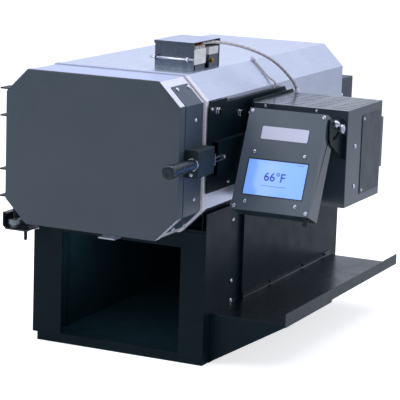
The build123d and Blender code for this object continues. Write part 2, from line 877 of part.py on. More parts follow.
arm_x0 = panel_right + arm_gap
arm_x1 = arm_x0 + arm_sheet
left_arm_x1 = panel_left - arm_gap
left_arm_x0 = left_arm_x1 - arm_sheet


def right_arm():
    """Slotted arm on the right, folded onto the front of the control box."""
    outline = [(box_y0, pivot_height + 3), (box_y0, pivot_height - 60), (pivot_y - 14, pivot_height - 31),
               (pivot_y - 20, pivot_height - 22), (pivot_y - 20, pivot_height + 8),
               (pivot_y + 16, pivot_height + 6)]
    arm = prism_yz(outline, arm_x0, arm_x1)
    fold = block(arm_x0, box_right, box_y0 - arm_sheet, box_y0, pivot_height - 60, pivot_height - 22)
    hole = rod((arm_x0 - 1, pivot_y, pivot_height), (arm_x1 + 1, pivot_y, pivot_height), pivot_diameter)
    return arm + fold - hole - clamp_slot(arm_x0 - 1, arm_x1 + 1)


def left_arm():
    """Plain arm on the left, folded onto the front of the control box."""
    outline = [(box_y0, pivot_height + 3), (box_y0, pivot_height - 50), (pivot_y - 10, pivot_height - 12),
               (pivot_y - 10, pivot_height + 8), (pivot_y + 16, pivot_height + 8)]
    arm = prism_yz(outline, left_arm_x0, left_arm_x1)
    fold = block(box_left, left_arm_x1, box_y0 - arm_sheet, box_y0, pivot_height - 50, pivot_height - 22)
    return arm + fold - rod((left_arm_x0 - 1, pivot_y, pivot_height),
                            (left_arm_x1 + 1, pivot_y, pivot_height), pivot_diameter)


def pivot_bolt(inner_x, face_x, way):
    """Bolt through an arm: a head inside the panel and a cap nut outside the arm."""
    head = rod((inner_x - way * 4, pivot_y, pivot_height), (inner_x, pivot_y, pivot_height), 10.0)
    shank = rod((inner_x, pivot_y, pivot_height), (face_x, pivot_y, pivot_height), pivot_diameter)
    nut = rod((face_x, pivot_y, pivot_height), (face_x + way * 4, pivot_y, pivot_height), 11.0)
    cap = rod((face_x + way * 4, pivot_y, pivot_height), (face_x + way * 8, pivot_y, pivot_height), 10.0, 5.0)
    return head + shank + nut + cap


write("tilt_arms", right_arm(), left_arm())
write("tilt_pivot_bolts",
      pivot_bolt(panel_right - panel_sheet - contact_gap, arm_x1, 1),
      pivot_bolt(panel_left + panel_sheet + contact_gap, left_arm_x0, -1))


# Tilting panel, built upright and then turned about its pivot

def placed(shape):
    """Move an upright panel piece to the pivot and tilt it back."""
    at_pivot = Pos(0, -pivot_depth, pivot_drop) * shape
    return Pos(0, pivot_y, pivot_height) * Rot(-panel_tilt, 0, 0) * at_pivot


stud_angle = radians(clamp_start + panel_tilt)
stud_y = pivot_depth + clamp_radius * cos(stud_angle)
stud_z = -pivot_drop + clamp_radius * sin(stud_angle)
stud_margin = 7.0


def panel_housing():
    """Tray of the panel, open at the front, with holes for the pivots and the clamp stud."""
    outer = block(panel_left, panel_right, panel_face_sheet, panel_depth, -panel_height, 0)
    inner = block(panel_left + panel_sheet, panel_right - panel_sheet, 0, panel_depth - panel_sheet,
                  -panel_height + panel_sheet, -panel_sheet)
    pivot_hole = rod((panel_left - 5, pivot_depth, -pivot_drop), (panel_right + 5, pivot_depth, -pivot_drop),
                     pivot_diameter + 2 * running_fit)
    lug = block(panel_right - panel_sheet, panel_right, panel_depth - panel_sheet, stud_y + stud_margin,
                stud_z - stud_margin, stud_z + stud_margin)
    stud_hole = rod((panel_right - 5, stud_y, stud_z), (panel_right + 5, stud_y, stud_z), clamp_stud)
    return outer - inner - pivot_hole + lug - stud_hole


def panel_face():
    """Front sheet of the panel with the screen window."""
    sheet = block(panel_left, panel_right, 0, panel_face_sheet, -panel_height, 0)
    x0 = panel_left + screen_left
    return sheet - block(x0, x0 + screen_width, -1, panel_face_sheet + 1,
                         -screen_top - screen_height, -screen_top)


def screen():
    """Screen module that fills the window from behind."""
    x0 = panel_left + screen_left
    glass = block(x0, x0 + screen_width, 0.6, panel_face_sheet, -screen_top - screen_height, -screen_top)
    back = panel_face_sheet + screen_module
    module = block(x0 - 3, x0 + screen_width + 3, panel_face_sheet, back,
                   -screen_top - screen_height - 5, -screen_top + 5)
    board = block(panel_left + 12, panel_right - 12, back, back + board_sheet,
                  -panel_height + 14, -screen_top + 12)
    return glass + module + board


corner_inset = 5.2
screen_screw_rise = 11.5
screw_spots = [(panel_left + x, -z) for x in (corner_inset, panel_width - corner_inset)
               for z in (corner_inset, panel_height - corner_inset)]
screw_spots += [(panel_left + screen_left + x, -screen_top + rise)
                for x in (6.5, screen_width - 8.5) for rise in (screen_screw_rise, -screen_height - screen_screw_rise)]
name_x0 = panel_left + name_left
write("panel_housing", placed(panel_housing()))
write("panel_face", placed(panel_face()))
write("touch_screen", placed(screen()))
write("panel_name_plate", placed(block(name_x0, name_x0 + name_width, -0.8, 0,
                                       -name_top - name_height, -name_top)))
write("panel_screws", *[placed(pan_screw((x, 0, z), (0, -1, 0), 5.5, 2.0)) for x, z in screw_spots])


def clamp_stud_piece():
    """Stud through the lug and the slotted arm, with a flat head on the inside."""
    x0 = panel_right - panel_sheet
    head = rod((x0 - 3, stud_y, stud_z), (x0, stud_y, stud_z), clamp_stud + 4)
    return head + rod((x0, stud_y, stud_z), (arm_x1 + knob_height + 2, stud_y, stud_z), clamp_stud)


def clamp_knob():
    """Fluted knob that turns on the stud."""
    x0 = arm_x1 + contact_gap
    x1 = x0 + knob_height
    knob = rod((x0, stud_y, stud_z), (x1, stud_y, stud_z), knob_diameter)
    for step in range(12):
        angle = radians(step * 30)
        y = stud_y + knob_diameter / 2 * cos(angle)
        z = stud_z + knob_diameter / 2 * sin(angle)
        knob -= rod((x0 - 1, y, z), (x1 + 1, y, z), 1.6)
    return knob - rod((x0 - 1, stud_y, stud_z), (x1 + 1, stud_y, stud_z), clamp_stud + 2 * running_fit)


bumper_x = panel_left + 121.0
write("panel_clamp_stud", placed(clamp_stud_piece()))
write("panel_clamp_knob", placed(clamp_knob()))
write("panel_bumper", placed(rod((bumper_x, bumper_depth, -panel_height),
                                 (bumper_x, bumper_depth, -panel_height - bumper_length),
                                 bumper_diameter, bumper_diameter - 1.5)))


# Door

door_side = half_body - door_sheet
plate_side = door_side + side_plate_sheet
brick_inset = 2 * door_sheet


def door_side_plate():
    """Painted plate around the handle side, folded onto both sloping edges."""
    ring = octagon_ring(behind(side_plate_front), behind(side_plate_back),
                        door_sheet - side_plate_sheet, door_sheet)
    keep = block(half_body - wing_reach, half_body + 5, door_front, door_back, 0, body_top)
    return ring & keep


def on_slope(run, distance, level):
    """Place and direction on the right sloping edge, from its upper or lower side corner."""
    x = plate_side - run
    z = body_middle + level * (body_height / 2 - body_chamfer + run + side_plate_sheet - door_sheet)
    return (x, behind(distance), z), (1, 0, level)


write("door_front_skin", octagon_solid(door_front, door_front + door_skin))
write("door_wrap", octagon_ring(door_front + door_skin, door_front + door_band, 0, door_sheet)
      + octagon_ring(door_front + door_skin, door_back, door_sheet, brick_inset))
write("door_firebrick", octagon_solid(door_front + door_skin, door_back, brick_inset))
write("door_side_plate", door_side_plate())

door_screws = [pan_screw((plate_side, behind(54.0), body_middle + 61.0), (1, 0, 0), 6.5),
               pan_screw((plate_side, behind(56.0), body_middle - 63.0), (1, 0, 0), 6.5)]
for level in (1, -1):
    for distance in (33.0, 72.0):
        door_screws.append(pan_screw(*on_slope(wing_reach - 5.0, distance, level), 6.5))


# Door hinge

hinge_x = -half_body - hinge_offset
hinge_y = behind(hinge_setback)
hinge_bases = [lower_hinge, upper_hinge]
rod_top = upper_hinge + hinge_span + 2 * ear_sheet + 2


def hinge_bracket(base):
    """Folded bracket on the door with two ears around the hinge rod."""
    x0 = hinge_x - ear_reach
    y0 = behind(ear_front)
    y1 = hinge_y + ear_margin
    nose = hinge_y - ear_nose
    cut = 3.0
    ear_outline = [(-door_side, nose), (-door_side, y1), (x0 + cut, y1), (x0, y1 - cut),
                   (x0, nose + cut), (x0 + cut, nose)]
    back = block(-door_side - ear_sheet, -door_side, y0, y1, base, base + hinge_span + ear_sheet)
    lower = prism_xy(ear_outline, base, base + ear_sheet)
    upper = prism_xy(ear_outline, base + hinge_span, base + hinge_span + ear_sheet)
    bore = rod((hinge_x, hinge_y, base - 1), (hinge_x, hinge_y, base + hinge_span + 5),
               hinge_rod_diameter + 2 * running_fit)
    return back + lower + upper - bore


def knuckle_levels(base):
    """Lower and upper end of the fixed knuckle between two ears."""
    return base + ear_sheet + contact_gap, base + hinge_span - contact_gap - washer_height


def hinge_knuckle(base):
    """Fixed arm on the body's left side that carries the hinge rod."""
    half = knuckle_width / 2
    y1 = hinge_y + knuckle_arm
    foot_x = -half_body - foot_sheet
    outline = [(hinge_x - half, hinge_y - half), (hinge_x + half, hinge_y - half),
               (hinge_x + half, y1), (-half_body, y1), (-half_body, y1 + knuckle_foot),
               (foot_x, y1 + knuckle_foot), (foot_x, y1 + 9), (hinge_x - half, y1 + 9)]
    z0, z1 = knuckle_levels(base)
    return prism_xy(outline, z0, z1) - rod((hinge_x, hinge_y, z0 - 1), (hinge_x, hinge_y, z1 + 1),
                                           hinge_rod_diameter)


def hinge_washer(base):
    z = knuckle_levels(base)[1]
    return rod((hinge_x, hinge_y, z), (hinge_x, hinge_y, z + washer_height), knuckle_width)


def hinge_screw_set(base):
    """Two screws through the back of a hinge bracket."""
    x = -door_side - ear_sheet
    return [pan_screw((x, behind(ear_front + place), base + hinge_span / 2), (-1, 0, 0), 6.0)
            for place in (8.0, 20.0)]


def foot_bracket():
    """Folded bracket on the stand under the lower end of the hinge rod."""
    x0 = hinge_x - ear_margin - 4
    t = foot_sheet
    z0 = bracket_floor
    z1 = z0 + bracket_height
    outline = [(x0, z0 + 6), (x0 + 6, z0), (hinge_x + 29, z0), (hinge_x + 29, z0 + t),
               (x0 + 7, z0 + t), (x0 + t, z0 + 7), (x0 + t, z1 - t), (x0 + 10, z1 - t),
               (x0 + 10, z1), (x0, z1)]
    fold = prism_xz(outline, hinge_y - 13, hinge_y + 92)
    fold -= block(-half_stand, 0, stand_front, stand_back, 0, body_top)
    tab = block(-half_stand - t, -half_stand, stand_front + 3, hinge_y + 92, z0, z0 + 44)
    stop = rod((hinge_x + stop_bolt_offset, hinge_y, z0 - 1), (hinge_x + stop_bolt_offset, hinge_y, z0 + 5),
               stop_bolt_diameter)
    return fold + tab - stop


def stop_bolt():
    """Bolt through the foot bracket, with its rounded end hanging down."""
    x = hinge_x + stop_bolt_offset
    top = bracket_floor + foot_sheet
    low = bracket_floor - stop_bolt_length
    shank = rod((x, hinge_y, top), (x, hinge_y, low + 2), stop_bolt_diameter)
    tip = rod((x, hinge_y, low + 2), (x, hinge_y, low), stop_bolt_diameter, stop_bolt_diameter / 2)
    return shank + tip + hex_bolt((x, hinge_y, top), (0, 0, 1), 8.0, 3.5, 10.0)


def hinge_rod():
    """Rod through both hinges, with a collar at its foot and a washer on each knuckle."""
    z = bracket_floor + foot_sheet
    bar = rod((hinge_x, hinge_y, z), (hinge_x, hinge_y, rod_top), hinge_rod_diameter)
    bar += rod((hinge_x, hinge_y, z), (hinge_x, hinge_y, z + collar_height), collar_diameter)
    bar += rod((hinge_x, hinge_y, z + disc_lift), (hinge_x, hinge_y, z + disc_lift + disc_height), disc_diameter)
    for base in hinge_bases:
        bar += hinge_washer(base)
    return bar


door_screws += [screw for base in hinge_bases for screw in hinge_screw_set(base)]
write("hinge_brackets", *[hinge_bracket(base) for base in hinge_bases])
write("hinge_knuckles", *[hinge_knuckle(base) for base in hinge_bases])
write("hinge_rod", hinge_rod())


# Handle and catch

handle_x1 = plate_side + handle_width
handle_y0 = behind(handle_front)
handle_y1 = handle_y0 + handle_length
grip_x = plate_side + handle_width / 2 + 3


def handle_block():
    """Block on the door's side that carries the grip."""
    body = block(plate_side, handle_x1, handle_y0, handle_y1,
                 handle_middle - handle_height / 2, handle_middle + handle_height / 2)
    body = chamfer(body.edges().filter_by(Axis.Y).group_by(Axis.X)[-1], 1.5)
    return body - rod((grip_x, handle_y0 - 1, handle_middle), (grip_x, handle_y0 + stud_back, handle_middle),
                      handle_stud_diameter)


def handle_grip():
    """Tapered round grip, wider at its free end."""
    start = handle_y0 - grip_collar
    grip = rod((grip_x, start, handle_middle), (grip_x, start - grip_length, handle_middle), grip_base, grip_end)
    grip = fillet(grip.edges().sort_by(Axis.Y)[0], 2.0)
    return grip - rod((grip_x, start + 1, handle_middle), (grip_x, start - stud_grip, handle_middle),
                      handle_stud_diameter)


def catch_clip():
    """Spring clip behind the handle block, with a leaf above and below the keeper."""
    x0 = box_left + slot_clearance
    gap = keeper_diameter / 2 + contact_gap
    reach = keeper_y + keeper_diameter + 2
    base = block(x0, x0 + clip_width, handle_y1, handle_y1 + clip_sheet, handle_middle - 9, handle_middle + 9)
    leaves = [block(x0, x0 + clip_width, handle_y1, reach, handle_middle + low, handle_middle + low + clip_sheet)
              for low in (gap, -gap - clip_sheet)]
    return base + leaves[0] + leaves[1]


def handle_stud():
    """Stud through the block and into the grip, with a round collar between them."""
    front = handle_y0 - grip_collar
    stud = rod((grip_x, handle_y0 + stud_back, handle_middle), (grip_x, front - stud_grip, handle_middle),
               handle_stud_diameter)
    return stud + rod((grip_x, handle_y0, handle_middle), (grip_x, front, handle_middle), grip_base + 1.5)


door_screws.append(pan_screw((grip_x - 3, handle_y0, handle_middle - 16.5), (0, -1, 0), 6.5, 2.0))
write("handle_block", handle_block())
write("handle_stud", handle_stud())
write("handle_grip", handle_grip())
write("catch_clip", catch_clip())
write("door_screws", *door_screws)


# Small bracket under the door, and the fasteners of the fixed parts

rail_bottom = stand_height - cross_rail_height
angle_x0 = angle_middle - angle_width / 2
angle_face = stand_front + stand_sheet - foot_sheet


def rail_angle():
    """Folded angle on the front rail, between the posts."""
    z0 = rail_bottom + angle_lift
    flat = block(angle_x0, angle_x0 + angle_width, stand_front - angle_reach, stand_front + stand_sheet,
                 z0, z0 + foot_sheet)
    upright = block(angle_x0, angle_x0 + angle_width, angle_face, stand_front + stand_sheet,
                    z0, z0 + angle_height)
    return flat + upright


angle_bolts = [hex_bolt((angle_middle + side * 6, angle_face, rail_bottom + angle_lift + 9), (0, -1, 0),
                        7.0, 3.0, 8.0) for side in (-1, 1)]
write("stand_front_brackets", foot_bracket(), rail_angle())
write("base_screws", *stand_screws, *shelf_screws, *cover_screws, *mount_bolts, *box_screws,
      *angle_bolts, stop_bolt())


# Leads

def lead_tube(points, diameter):
    """Tube along straight runs joined by arcs as large as the runs allow."""
    runs = [(Vector(*b) - Vector(*a)) for a, b in zip(points, points[1:])]
    radii = []
    for before, after in zip(runs, runs[1:]):
        half_turn = radians(before.get_angle(after)) / 2
        radii.append(0.45 * min(before.length, after.length) / tan(half_turn))
    print("lead radii", [round(radius, 1) for radius in radii])
    path = FilletPolyline(*points, radius=radii)
    section = Plane(origin=points[0], z_dir=runs[0]) * Circle(diameter / 2)
    lead = sweep(section, path=path)
    print("volume ratio", round(lead.volume / (path.length * 3.14159 * diameter ** 2 / 4), 4))
    return lead


lead_start = (post_x, ceramic_y0 + 40, ceramic_z1 + terminal_post_height)
lead_route = [lead_start, (100.0, -203.0, body_top + 41.4), (111.5, -181.0, body_top + 41.2),
              (124.0, -155.0, body_top + 36.8), (136.5, -126.5, body_top + 29.5),
              (149.0, -98.0, body_top + 19.3), (160.5, -70.5, body_top + 6.3),
              (170.0, -47.0, box_top + 42.8), (177.2, -29.5, box_top + 26.5),
              (181.6, -18.8, box_top + 16.0), (183.0, -14.0, box_top + neck_height)]
side_route = [(half_body - 35.0, -46.5, body_top), (half_body - 20.5, -45.0, body_top - 14.4),
              (half_body - 6.5, -45.5, body_top - 27.8), (half_body + 0.7, -44.0, body_top - 31.6),
              (half_body + 4.7, -42.8, body_top - 36.9), (half_body + 1.8, -44.0, body_top - 43.6),
              (half_body + 2.0, -45.5, body_top - 55.0), (half_body + 2.0, -45.5, body_top - 74.0)]


def lead_gland():
    """Gland on the control box with a neck that leans towards the lead."""
    end = Vector(*lead_route[-1])
    way = (end - Vector(*lead_route[-2])).normalized()
    root = end + way * (2 * neck_height)
    neck = rod(end, root, neck_diameter)
    foot = end + way * (neck_height / abs(way.Z))
    base = rod((foot.X, foot.Y, box_top), (foot.X, foot.Y, box_top + 1.5), 2 * neck_diameter - 4)
    return (neck + base) - block(box_left, box_right, box_y0, box_y1, box_bottom, box_top)


def lead_bead():
    """Ceramic bead on the edge of the roof where the side lead comes out."""
    start = Vector(*side_route[0])
    way = (Vector(*side_route[1]) - start).normalized()
    return rod(start - way * bead_length, start, bead_diameter) - octagon_solid(body_front, body_back)


def lead_clip():
    """Clip between the body's side and the mount plate."""
    x, y, z = side_route[-1]
    clip = block(half_body, plate_x, y - 5, y + 5, z + 4, z + 10)
    return clip - rod((x, y, z), (x, y, z + 15), side_lead_diameter)


def power_gland():
    """Round cable gland on the rear of the control box, empty."""
    x = box_right - 20
    z = box_top - inlet_drop
    y0 = box_y1 + inlet_depth
    gland = rod((x, y0, z), (x, y0 + inlet_length, z), inlet_diameter)
    return gland - rod((x, y0 + 1, z), (x, y0 + inlet_length + 1, z), inlet_diameter / 2)


write("thermocouple_lead", lead_tube(lead_route, lead_diameter))
write("side_lead", lead_tube(side_route, side_lead_diameter))
write("lead_glands", lead_gland(), lead_bead(), lead_clip(), power_gland())
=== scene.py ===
# %% [markdown]
# # A long heat treating kiln, dressed for its portrait
# The CAD model already holds every solid at its real size. This lesson gives it a camera,
# light, finishes, and the small parts that are worth modelling by hand: screws with real
# recesses, braided leads, coiled elements and a turned handle.
# We load the frame first, because everything else is placed against it.

# %% Load the frame
import math
import bpy
from mathutils import Matrix, Vector


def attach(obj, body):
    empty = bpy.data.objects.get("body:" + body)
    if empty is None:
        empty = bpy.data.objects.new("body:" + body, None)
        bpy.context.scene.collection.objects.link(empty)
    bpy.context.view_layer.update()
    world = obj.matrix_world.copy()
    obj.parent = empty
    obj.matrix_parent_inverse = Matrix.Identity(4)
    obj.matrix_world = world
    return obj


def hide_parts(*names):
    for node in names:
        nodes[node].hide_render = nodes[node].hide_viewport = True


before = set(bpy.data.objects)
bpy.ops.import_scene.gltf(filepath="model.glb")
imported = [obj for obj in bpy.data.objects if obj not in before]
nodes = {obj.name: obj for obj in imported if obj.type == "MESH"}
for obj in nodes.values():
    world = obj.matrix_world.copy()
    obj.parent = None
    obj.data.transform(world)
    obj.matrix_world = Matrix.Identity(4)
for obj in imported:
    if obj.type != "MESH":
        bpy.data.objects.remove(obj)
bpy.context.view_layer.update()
scene = bpy.context.scene

# %% [markdown]
# ## Camera
# A camera is a place, a direction and a lens, and the photograph's long straight edges fix
# all three. A Track To constraint could aim it, but the camera's own axes written as a
# matrix also give the small tilt of the horizon.

# %% Camera
def place_camera(location, yaw, pitch, roll, lens):
    """Camera at a place in metres, turned by three angles in radians."""
    level = math.cos(pitch)
    forward = Vector((-math.sin(yaw) * level, math.cos(yaw) * level, -math.sin(pitch)))
    right = Vector((math.cos(yaw), math.sin(yaw), 0))
    up = right.cross(forward)
    across = math.cos(roll) * right + math.sin(roll) * up
    upright = -math.sin(roll) * right + math.cos(roll) * up
    data = bpy.data.cameras.new("photo_camera")
    data.lens, data.sensor_width = lens, 36.0
    camera = bpy.data.objects.new("photo_camera", data)
    scene.collection.objects.link(camera)
    turn = Matrix((across, upright, -forward)).transposed().to_4x4()
    camera.matrix_world = Matrix.Translation(location) @ turn
    return camera

CAMERA_PLACE = (1.3695, -2.9133, 0.8352)
YAW, PITCH, ROLL = math.radians(25.11), math.radians(11.03), 0.0340
LENS = 168.4
scene.camera = place_camera(CAMERA_PLACE, YAW, PITCH, ROLL, LENS)
print("camera lens:", scene.camera.data.lens, "mm")

# %% [markdown]
# ## Two small helpers for materials
# Colours are written as the hexadecimal values of a paint chart, but the renderer works in
# linear light, so one function converts them. Another adds a shader node and wires it in a
# single line: a socket becomes a link, and any other value is typed in.

# %% Colour and node helpers
def colour(code):
    """Linear colour from a hex code such as 47545c."""
    parts = [int(code[i:i + 2], 16) / 255 for i in (0, 2, 4)]
    linear = [p / 12.92 if p <= 0.04045 else ((p + 0.055) / 1.055) ** 2.4 for p in parts]
    return (*linear, 1.0)


def add(tree, kind, inputs=(), **settings):
    """New shader node with its inputs typed in or linked."""
    made = tree.nodes.new("ShaderNode" + kind)
    for name, value in settings.items():
        setattr(made, name, value)
    for socket, value in dict(inputs).items():
        if isinstance(value, bpy.types.NodeSocket):
            tree.links.new(value, made.inputs[socket])
        else:
            made.inputs[socket].default_value = value
    return made

print("door enamel in linear light:", [round(c, 3) for c in colour("47545c")[:3]])

# %% [markdown]
# ## Surfaces in layers
# Paint, brushed steel, firebrick and rubber differ in the same few things: how the colour
# wanders, how the gloss wanders, and what the fine relief is. So each finish here is a
# Principled shader with three layers read from Object coordinates, which are metres on
# these pieces, and a pattern's size is given in millimetres. Image textures would look as
# good from one side, but procedural ones never run out of pixels.

# %% A blank finish and its pattern layers
def new_finish(name, **sockets):
    """Material with one Principled shader; sockets are its constant values."""
    material = bpy.data.materials.new(name)
    material.use_nodes = True
    tree = material.node_tree
    tree.nodes.clear()
    shader = add(tree, "BsdfPrincipled", {k.replace("_", " "): v for k, v in sockets.items()})
    add(tree, "OutputMaterial", {"Surface": shader.outputs[0]})
    return material, tree, shader


def wander(tree, size, low, high, stretch=(1, 1, 1), detail=3.0, contrast=0.16):
    """Noise with features of a size in mm, mapped to a range of values."""
    place = add(tree, "TexCoord").outputs["Object"]
    mapped = add(tree, "Mapping", {"Vector": place, "Scale": stretch}).outputs[0]
    noise = add(tree, "TexNoise", {"Vector": mapped, "Scale": 1000 / size, "Detail": detail})
    spread = {"From Min": 0.5 - contrast, "From Max": 0.5 + contrast, "To Min": low, "To Max": high}
    return add(tree, "MapRange", {"Value": noise.outputs[0], **spread}).outputs[0]


def mix(tree, share, first, second):
    """Blend of two colours by a share from 0 to 1."""
    return add(tree, "Mix", {0: share, 6: first, 7: second}, data_type="RGBA").outputs[2]


def relief(tree, shader, height, depth, strength=1.0, below=None):
    """Bump of a depth in mm on a shader, on top of another bump if one is given."""
    inputs = {"Height": height, "Distance": depth / 1000, "Strength": strength}
    if below:
        inputs["Normal"] = below
    bump = add(tree, "Bump", inputs)
    tree.links.new(bump.outputs[0], shader.inputs["Normal"])
    return bump.outputs[0]

print("pattern helpers ready")

# %% [markdown]
# ## Painted and enamelled steel
# Powder coat on a kiln is smooth but never flat: it has a faint orange peel one or two
# millimetres across, and handling leaves patches a little duller than the rest. The peel is
# relief, the handling is roughness, and a slow drift of colour keeps a big panel from
# looking like a swatch. One function makes all the painted finishes.

# %% Painted finishes
def painted(name, code, worn, rough=(0.34, 0.48), peel=1.6, depth=0.012, specular=0.5):
    """Powder coated steel: base and worn colour, gloss range, orange peel."""
    material, tree, shader = new_finish(name, Metallic=0.0, Specular_IOR_Level=specular)
    slow = wander(tree, 90, 0, 0.55)
    fine = wander(tree, 7, 0, 0.25, detail=5.0)
    share = add(tree, "Math", {0: slow, 1: fine}, operation="ADD").outputs[0]
    tree.links.new(mix(tree, share, colour(code), colour(worn)), shader.inputs["Base Color"])
    tree.links.new(wander(tree, 34, rough[0], rough[1], detail=4.0), shader.inputs["Roughness"])
    relief(tree, shader, wander(tree, peel, 0, 1, detail=2.0), depth)
    return material

finishes = {
    # Satin powder coat: nearly black, with a cold sheen only at a grazing angle
    "black_enamel": painted("satin_black_powder_coat", "0d1b20", "13252b", (0.3, 0.42),
                            specular=0.11),
    # The same coat on the shelf: smoother and glossier, as a tray is wiped and rubbed
    "shelf_enamel": painted("satin_black_shelf_coat", "0a1519", "0f1d22", (0.24, 0.32),
                            2.2, 0.004, 0.27),
    # Slate and steel grey paints: matt enough to stay even over a big flat face
    "door_enamel": painted("slate_door_enamel", "3e4a52", "444f58", (0.3, 0.4), 2.2, 0.008),
    "grey_plate": painted("steel_grey_side_paint", "3a4753", "42505d", (0.28, 0.38), specular=0.6),
    "rear_grey": painted("rear_cover_paint", "2c3843", "34414d", (0.36, 0.48), specular=0.4),
    # Smooth charcoal on the box: its top turns pale as it mirrors the backdrop
    "charcoal_box": painted("charcoal_box_paint", "2d3942", "36424c", (0.14, 0.22), specular=1.0),
    "panel_front": painted("panel_face_paint", "525e69", "5b6772", (0.34, 0.46)),
    "plate_silver": painted("dark_label_plate", "33393f", "3b4247", (0.36, 0.5), 1.2, 0.006),
    # Cast block, blackened and left matt, so that its edges stay soft
    "matt_black": painted("matt_black_casting", "15242b", "1d2e36", (0.5, 0.66), 1.0, 0.02, 0.3),
}
print("painted finishes:", len(finishes))

# %% [markdown]
# ## Bare metal
# Rolled stainless sheet shows a grain along the sheet's length, so its noise is squeezed
# across and stretched along. Real grain is a tenth of a millimetre wide and would vanish
# here, so it is drawn 1.4 wide. It goes mostly into roughness, and only a little into
# relief, which is how a brushed surface smears a highlight. Screws, rods and clips are
# plain bright zinc: an even noise with a few dull spots. The hinge rod and the box's lid
# mirror one thing above a certain height and another below it, so they get two tones: a
# painted reflection split at that height.

# %% Metal finishes
def sheet_metal(name, code, dull, rough, grain=(1, 0.03, 1), size=1.4):
    """Rolled sheet with a grain along one direction."""
    material, tree, shader = new_finish(name, Metallic=1.0)
    streak = wander(tree, size, 0, 1, grain, 4.0)
    patch = wander(tree, 60, 0, 0.7)
    share = add(tree, "Math", {0: streak, 1: patch}, operation="MULTIPLY").outputs[0]
    tree.links.new(mix(tree, share, colour(code), colour(dull)), shader.inputs["Base Color"])
    gloss = add(tree, "MapRange", {"Value": streak, "To Min": rough[0], "To Max": rough[1]})
    tree.links.new(gloss.outputs[0], shader.inputs["Roughness"])
    relief(tree, shader, streak, 0.006, 0.6)
    return material


def bright_metal(name, code, spot, rough=(0.16, 0.34), size=2.5):
    """Plated or turned small part with a few dull spots."""
    material, tree, shader = new_finish(name, Metallic=1.0)
    spots = wander(tree, size, 0, 1, detail=5.0, contrast=0.3)
    tree.links.new(mix(tree, spots, colour(code), colour(spot)), shader.inputs["Base Color"])
    tree.links.new(wander(tree, size * 2, rough[0], rough[1]), shader.inputs["Roughness"])
    relief(tree, shader, spots, 0.002, 0.25)
    return material


def painted_reflection_bands(name, level, above, below, rough):
    """Metal with a painted reflection: one colour above a height in mm and another below it."""
    material, tree, shader = new_finish(name, Metallic=1.0)
    height = add(tree, "SeparateXYZ", {0: add(tree, "TexCoord").outputs["Object"]}).outputs["Z"]
    mask = add(tree, "Math", {0: height, 1: level / 1000}, operation="GREATER_THAN").outputs[0]
    tone = mix(tree, mask, colour(below), colour(above))
    worn = mix(tree, wander(tree, 6, 0, 0.12), tone, colour("a9afb8"))
    tree.links.new(worn, shader.inputs["Base Color"])
    tree.links.new(wander(tree, 5, rough[0], rough[1]), shader.inputs["Roughness"])
    return material

finishes.update(
    stainless_shell=sheet_metal("stainless_wrap", "d6dceb", "c6ccdc", (0.26, 0.4)),
    # Painted reflection: the lid is drawn dark below 513.8 mm, and the hinge rod dark above 213 mm.
    lid_sheet=painted_reflection_bands("polished_lid_sheet", 513.8, "c0c8df", "59636d", (0.26, 0.36)),
    rod_steel=painted_reflection_bands("dull_zinc_rod", 213, "14191c", "8b959a", (0.4, 0.55)),
    bright_steel=bright_metal("bright_plated_steel", "e2e5ee", "c6cad6"),
    polished_sheet=sheet_metal("polished_box_sheet", "6c767f", "5f6973", (0.2, 0.3),
                               (1, 1, 0.3), 6.0),
    brass=bright_metal("yellow_brass", "b08d4c", "84642f"),
    element_wire=bright_metal("oxidised_element_wire", "6b625b", "48413c", (0.5, 0.75), 3.0),
)
print("with metals:", len(finishes))

# %% [markdown]
# ## Two finishes on one sheet
# The door's wrap is bare steel on its roof and on its slopes but painted on its upright
# sides, and one small bracket is plated where the other is enamelled. A mask from the
# position along X decides: its edge is a fold of the sheet, so it is sharp. One mask sets
# the colour and the metallic value, which keeps one shader for the whole sheet. The flat
# roof mirrors the cool lamp overhead, so above its fold the bare steel is painted a little
# bluer, a painted reflection. On the door's slopes and on the frame behind the door the
# bare steel is drawn near white and only partly metallic, a painted highlight.

# %% Part painted, part bare
ROOF_FOLD = 466.5


def part_painted(name, bare, bare_rough, paint, first, last, mirrored=True, metal=0.45):
    """Bare sheet whose part between two X places in mm is painted."""
    material, tree, shader = new_finish(name, Specular_IOR_Level=0.45)
    place = add(tree, "SeparateXYZ", {0: add(tree, "TexCoord").outputs["Object"]}).outputs["X"]
    if mirrored:
        place = add(tree, "Math", {0: place}, operation="ABSOLUTE").outputs[0]
    after = add(tree, "Math", {0: place, 1: first / 1000}, operation="GREATER_THAN").outputs[0]
    before = add(tree, "Math", {0: place, 1: last / 1000}, operation="LESS_THAN").outputs[0]
    mask = add(tree, "Math", {0: after, 1: before}, operation="MULTIPLY").outputs[0]
    streak = wander(tree, 1.6, 0, 1, (0.05, 1, 1), 4.0)
    # Above the roof's fold the steel is drawn bluer: a painted reflection of the lamp overhead.
    height = add(tree, "SeparateXYZ", {0: add(tree, "TexCoord").outputs["Object"]}).outputs["Z"]
    level = add(tree, "Math", {0: height, 1: ROOF_FOLD / 1000}, operation="GREATER_THAN").outputs[0]
    steel = mix(tree, level, mix(tree, streak, colour(bare), colour("d9dbe4")), colour("bcc4de"))
    tree.links.new(mix(tree, mask, steel, colour(paint)), shader.inputs["Base Color"])
    shine = add(tree, "MapRange", {"Value": mask, "To Min": metal, "To Max": 0.0})
    tree.links.new(shine.outputs[0], shader.inputs["Metallic"])
    tree.links.new(wander(tree, 20, bare_rough[0], bare_rough[1]), shader.inputs["Roughness"])
    relief(tree, shader, streak, 0.004, 0.4)
    return material

finishes.update(
    # Near white, partly metallic bare steel on the door's slopes and on the frame: a painted
    # highlight.
    door_wrap=part_painted("door_wrap_sheet", "f3f0f6", (0.42, 0.55), "404d59", 151.4, 400),
    # The frame behind the door is bare all over, so its painted range lies past its edge.
    front_frame=part_painted("front_frame_sheet", "f3eff2", (0.42, 0.55), "38444f", 500, 600,
                             metal=0.1),
    foot_brackets=part_painted("bracket_sheet", "b4b8c0", (0.3, 0.4), "11181b", -400, -50,
                               mirrored=False),
)
print("with part painted sheets:", len(finishes))
